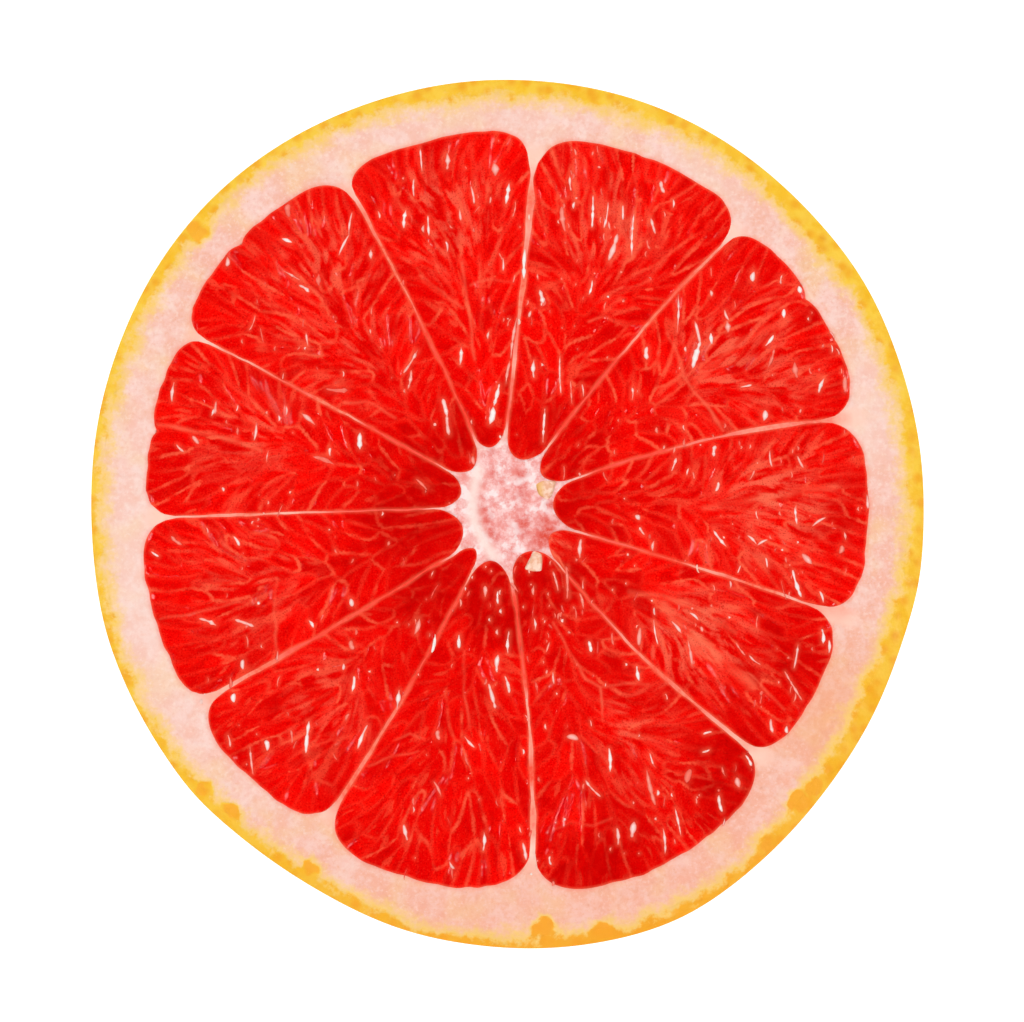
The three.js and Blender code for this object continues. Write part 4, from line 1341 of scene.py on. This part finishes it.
def add_skin(mesh):
    """Adds the outside of the fruit and returns its top ring and how much pore and scar each point has."""
    rings, plan, height, normal_plan, normal_height = skin_grid()
    number, distance = nearest(points_3d(plan, height), scattered_pores())
    pore = bell(distance, PORE_WIDTH) * (0.5 + 0.5 * (number * GOLDEN_RATIO % 1))
    swell = 0.12 * noise(plan + 0.7j * height, 7, 71) * smoothstep(0, 6, CUT - height)
    sunk = (PORE_DEPTH * pore + abs(swell)) * smoothstep(0, 0.6, CUT - height)
    from_axis = abs(plan) * (1 + 0.25 * noise(plan, 1.2, 73))
    scar = bell(from_axis - SCAR_RADIUS, 0.5) + smoothstep(SCAR_RADIUS, SCAR_RADIUS - 1, from_axis)
    scar = np.clip(scar, 0, 1)
    on_foot = height < FOOT_FLATNESS
    height = np.where(on_foot, np.maximum(height, 0) + SCAR_DEPTH * scar, height - normal_height * sunk)
    mesh.add(plan - normal_plan * sunk, np.maximum(height, 0))
    for upper, lower in zip(rings, rings[1:]):
        mesh.bridge(close(lower), close(upper))
    mesh.cap(rings[-1][::-1], 0, SCAR_DEPTH)
    return rings[0], np.append(pore, 0), np.append(scar, 1)


def add_rim(mesh, outer):
    """Adds the cut face of the peel, inwards from this ring, and the wall below its inner edge."""
    degrees = even_directions(RIND_COLUMNS)
    rim = rim_radius(degrees) - SKIN_INSET
    for share in np.linspace(0, 1, RIM_RINGS + 1)[1:]:
        plan = polar(lerp(rim, inner_rim(degrees), share), degrees)
        lift = 0.06 * noise(plan, 1.0, 72) * math.sin(math.pi * share) - 0.01
        inner = mesh.add(plan, CUT + lift)
        mesh.bridge(close(outer), close(inner))
        outer = inner
    depth = FULL_DEPTH - ZEST_THICKNESS - SKIN_INSET
    mesh.wall(outer, plan, 0, depth, WALL_RINGS, FOOT_RADIUS / RIM_RADIUS, faces_in=True)


def make_peel(material):
    mesh = Mesh()
    edge, pore, scar = add_skin(mesh)
    add_rim(mesh, edge)
    cut = np.ones(mesh.count)
    cut[: len(pore)] = 0
    cut[edge] = 1
    fields = cut_fields(mesh.plan())
    fields.update(cut=cut, pore=PORE_TINT * pore, scar=scar, blush=np.zeros(mesh.count))
    mesh.make("peel_skin", "peel", material, fields)


# ---------------------------------------------------------------- seeds

SEEDS = [  # corners, as pixels
    [(535, 484), (543, 480), (557, 481), (553, 495), (548, 501), (538, 495)],
    [(523, 570), (529, 559), (533, 550), (542, 553), (543, 561), (542, 572), (532, 572)],
]
SEED_POINTS = 72
SEED_ROUNDING = 5
SEED_RINGS = 24
SEED_RISE = 0.26
SEED_THICKNESS = 1.3


def rounded(corners, count, rounding):
    """A closed outline of evenly spread points through the corners, counter-clockwise and smoothed."""
    corners = np.array(corners + corners[:1])
    walked = np.concatenate([[0], np.cumsum(abs(np.diff(corners)))])
    loop = np.interp(np.arange(count) / count * walked[-1], walked, corners)
    for _ in range(rounding):
        loop = (np.roll(loop, 1) + loop + np.roll(loop, -1)) / 3
    area = np.sum(np.imag(np.conj(loop) * np.roll(loop, -1)))
    return loop if area > 0 else loop[::-1]


def make_seed(index, material):
    loop = rounded([at_pixel(pixel) for pixel in SEEDS[index]], SEED_POINTS, SEED_ROUNDING)
    middle = loop.mean()
    turn = np.linspace(-math.pi / 2, math.pi / 2, SEED_RINGS + 1)[1:-1, None]
    shrink = np.cos(turn) ** 0.45
    plan = middle + (loop - middle) * shrink
    wrinkle = 0.07 * noise(plan, 0.7, 81 + index) * smoothstep(0.2, 1, np.sin(turn))
    height = CUT + SEED_RISE + wrinkle + SEED_THICKNESS / 2 * (np.sin(turn) - 1)
    mesh = Mesh()
    mesh.spindle(plan, height)
    tint = smoothstep(0, -0.9, np.real(plan - middle)).ravel() * (index == 0)
    mesh.make(f"seed_body_{index + 1}", f"seed_{index + 1}", material, {"tint": tint})


# ---------------------------------------------------------------- stage

FLOOR_REACH = 3  # metres, to each side
SKY_LIGHT = 0.06
LENS = 120
SENSOR_WIDTH = 36


def add_floor():
    mesh = bpy.data.meshes.new("floor")
    corners = [(FLOOR_REACH * x, FLOOR_REACH * y, 0) for x, y in ((-1, -1), (1, -1), (1, 1), (-1, 1))]
    mesh.from_pydata(corners, [], [range(4)])
    mesh.materials.append(floor_material())
    add_object("floor", mesh)


def add_light(name, azimuth, from_zenith, distance, size, power):
    """A soft box aimed at the fruit. Azimuth 0 is on +X and 90 on +Y; size is along and across it."""
    light = bpy.data.lights.new(name, "AREA")
    light.shape = "RECTANGLE"
    light.size, light.size_y = size
    light.energy = power
    lamp = add_object(name, light)
    tilt, turn = math.radians(from_zenith), math.radians(azimuth)
    out, up = distance * math.sin(tilt), distance * math.cos(tilt)
    lamp.location = (out * math.cos(turn), out * math.sin(turn), up)
    lamp.rotation_euler = (0, tilt, turn)
    lamp.visible_camera = False


def add_lights():
    """Four soft boxes and a faint white sky, which the camera itself sees as plain white."""
    world = bpy.data.worlds.new("studio")
    world.use_nodes = True
    nodes, links = world.node_tree.nodes, world.node_tree.links
    background = nodes["Background"]
    background.inputs["Color"].default_value = (1, 1, 1, 1)
    seen_directly = nodes.new("ShaderNodeLightPath").outputs["Is Camera Ray"]
    strength = nodes.new("ShaderNodeMapRange")
    strength.inputs["To Min"].default_value = SKY_LIGHT
    strength.inputs["To Max"].default_value = 1
    links.new(seen_directly, strength.inputs["Value"])
    links.new(strength.outputs[0], background.inputs["Strength"])
    bpy.context.scene.world = world
    for name, azimuth in (("left_strip", 180), ("right_strip", 0)):
        add_light(name, azimuth, 32, 0.75, (0.05, 0.5), 2.2)
    for name, azimuth in (("back_box", 90), ("front_box", -90)):
        add_light(name, azimuth, 62, 0.9, (0.4, 0.7), 4.85)


def add_camera():
    """Looks straight down, with the photograph's frame round the cut face."""
    data = bpy.data.cameras.new("camera")
    data.lens, data.sensor_width = LENS, SENSOR_WIDTH
    camera = add_object("camera", data)
    frame_width = IMAGE_SIZE[0] / PIXELS_PER_MM
    centre = at_pixel((IMAGE_SIZE[0] / 2, IMAGE_SIZE[1] / 2)) - MIDDLE
    distance = frame_width * LENS / SENSOR_WIDTH
    camera.location = (centre.real * MM, centre.imag * MM, (CUT + distance) * MM)
    bpy.context.scene.camera = camera


# ---------------------------------------------------------------- the scene

add_camera()
add_lights()
add_floor()
flesh = pulp_material()
for segment in segments:
    make_pulp(segment, flesh)
make_pith(pith_material())
make_peel(peel_material())
seed_look = seed_material()
for index in range(len(SEEDS)):
    make_seed(index, seed_look)

bpy.context.scene.view_settings.view_transform = "Standard"
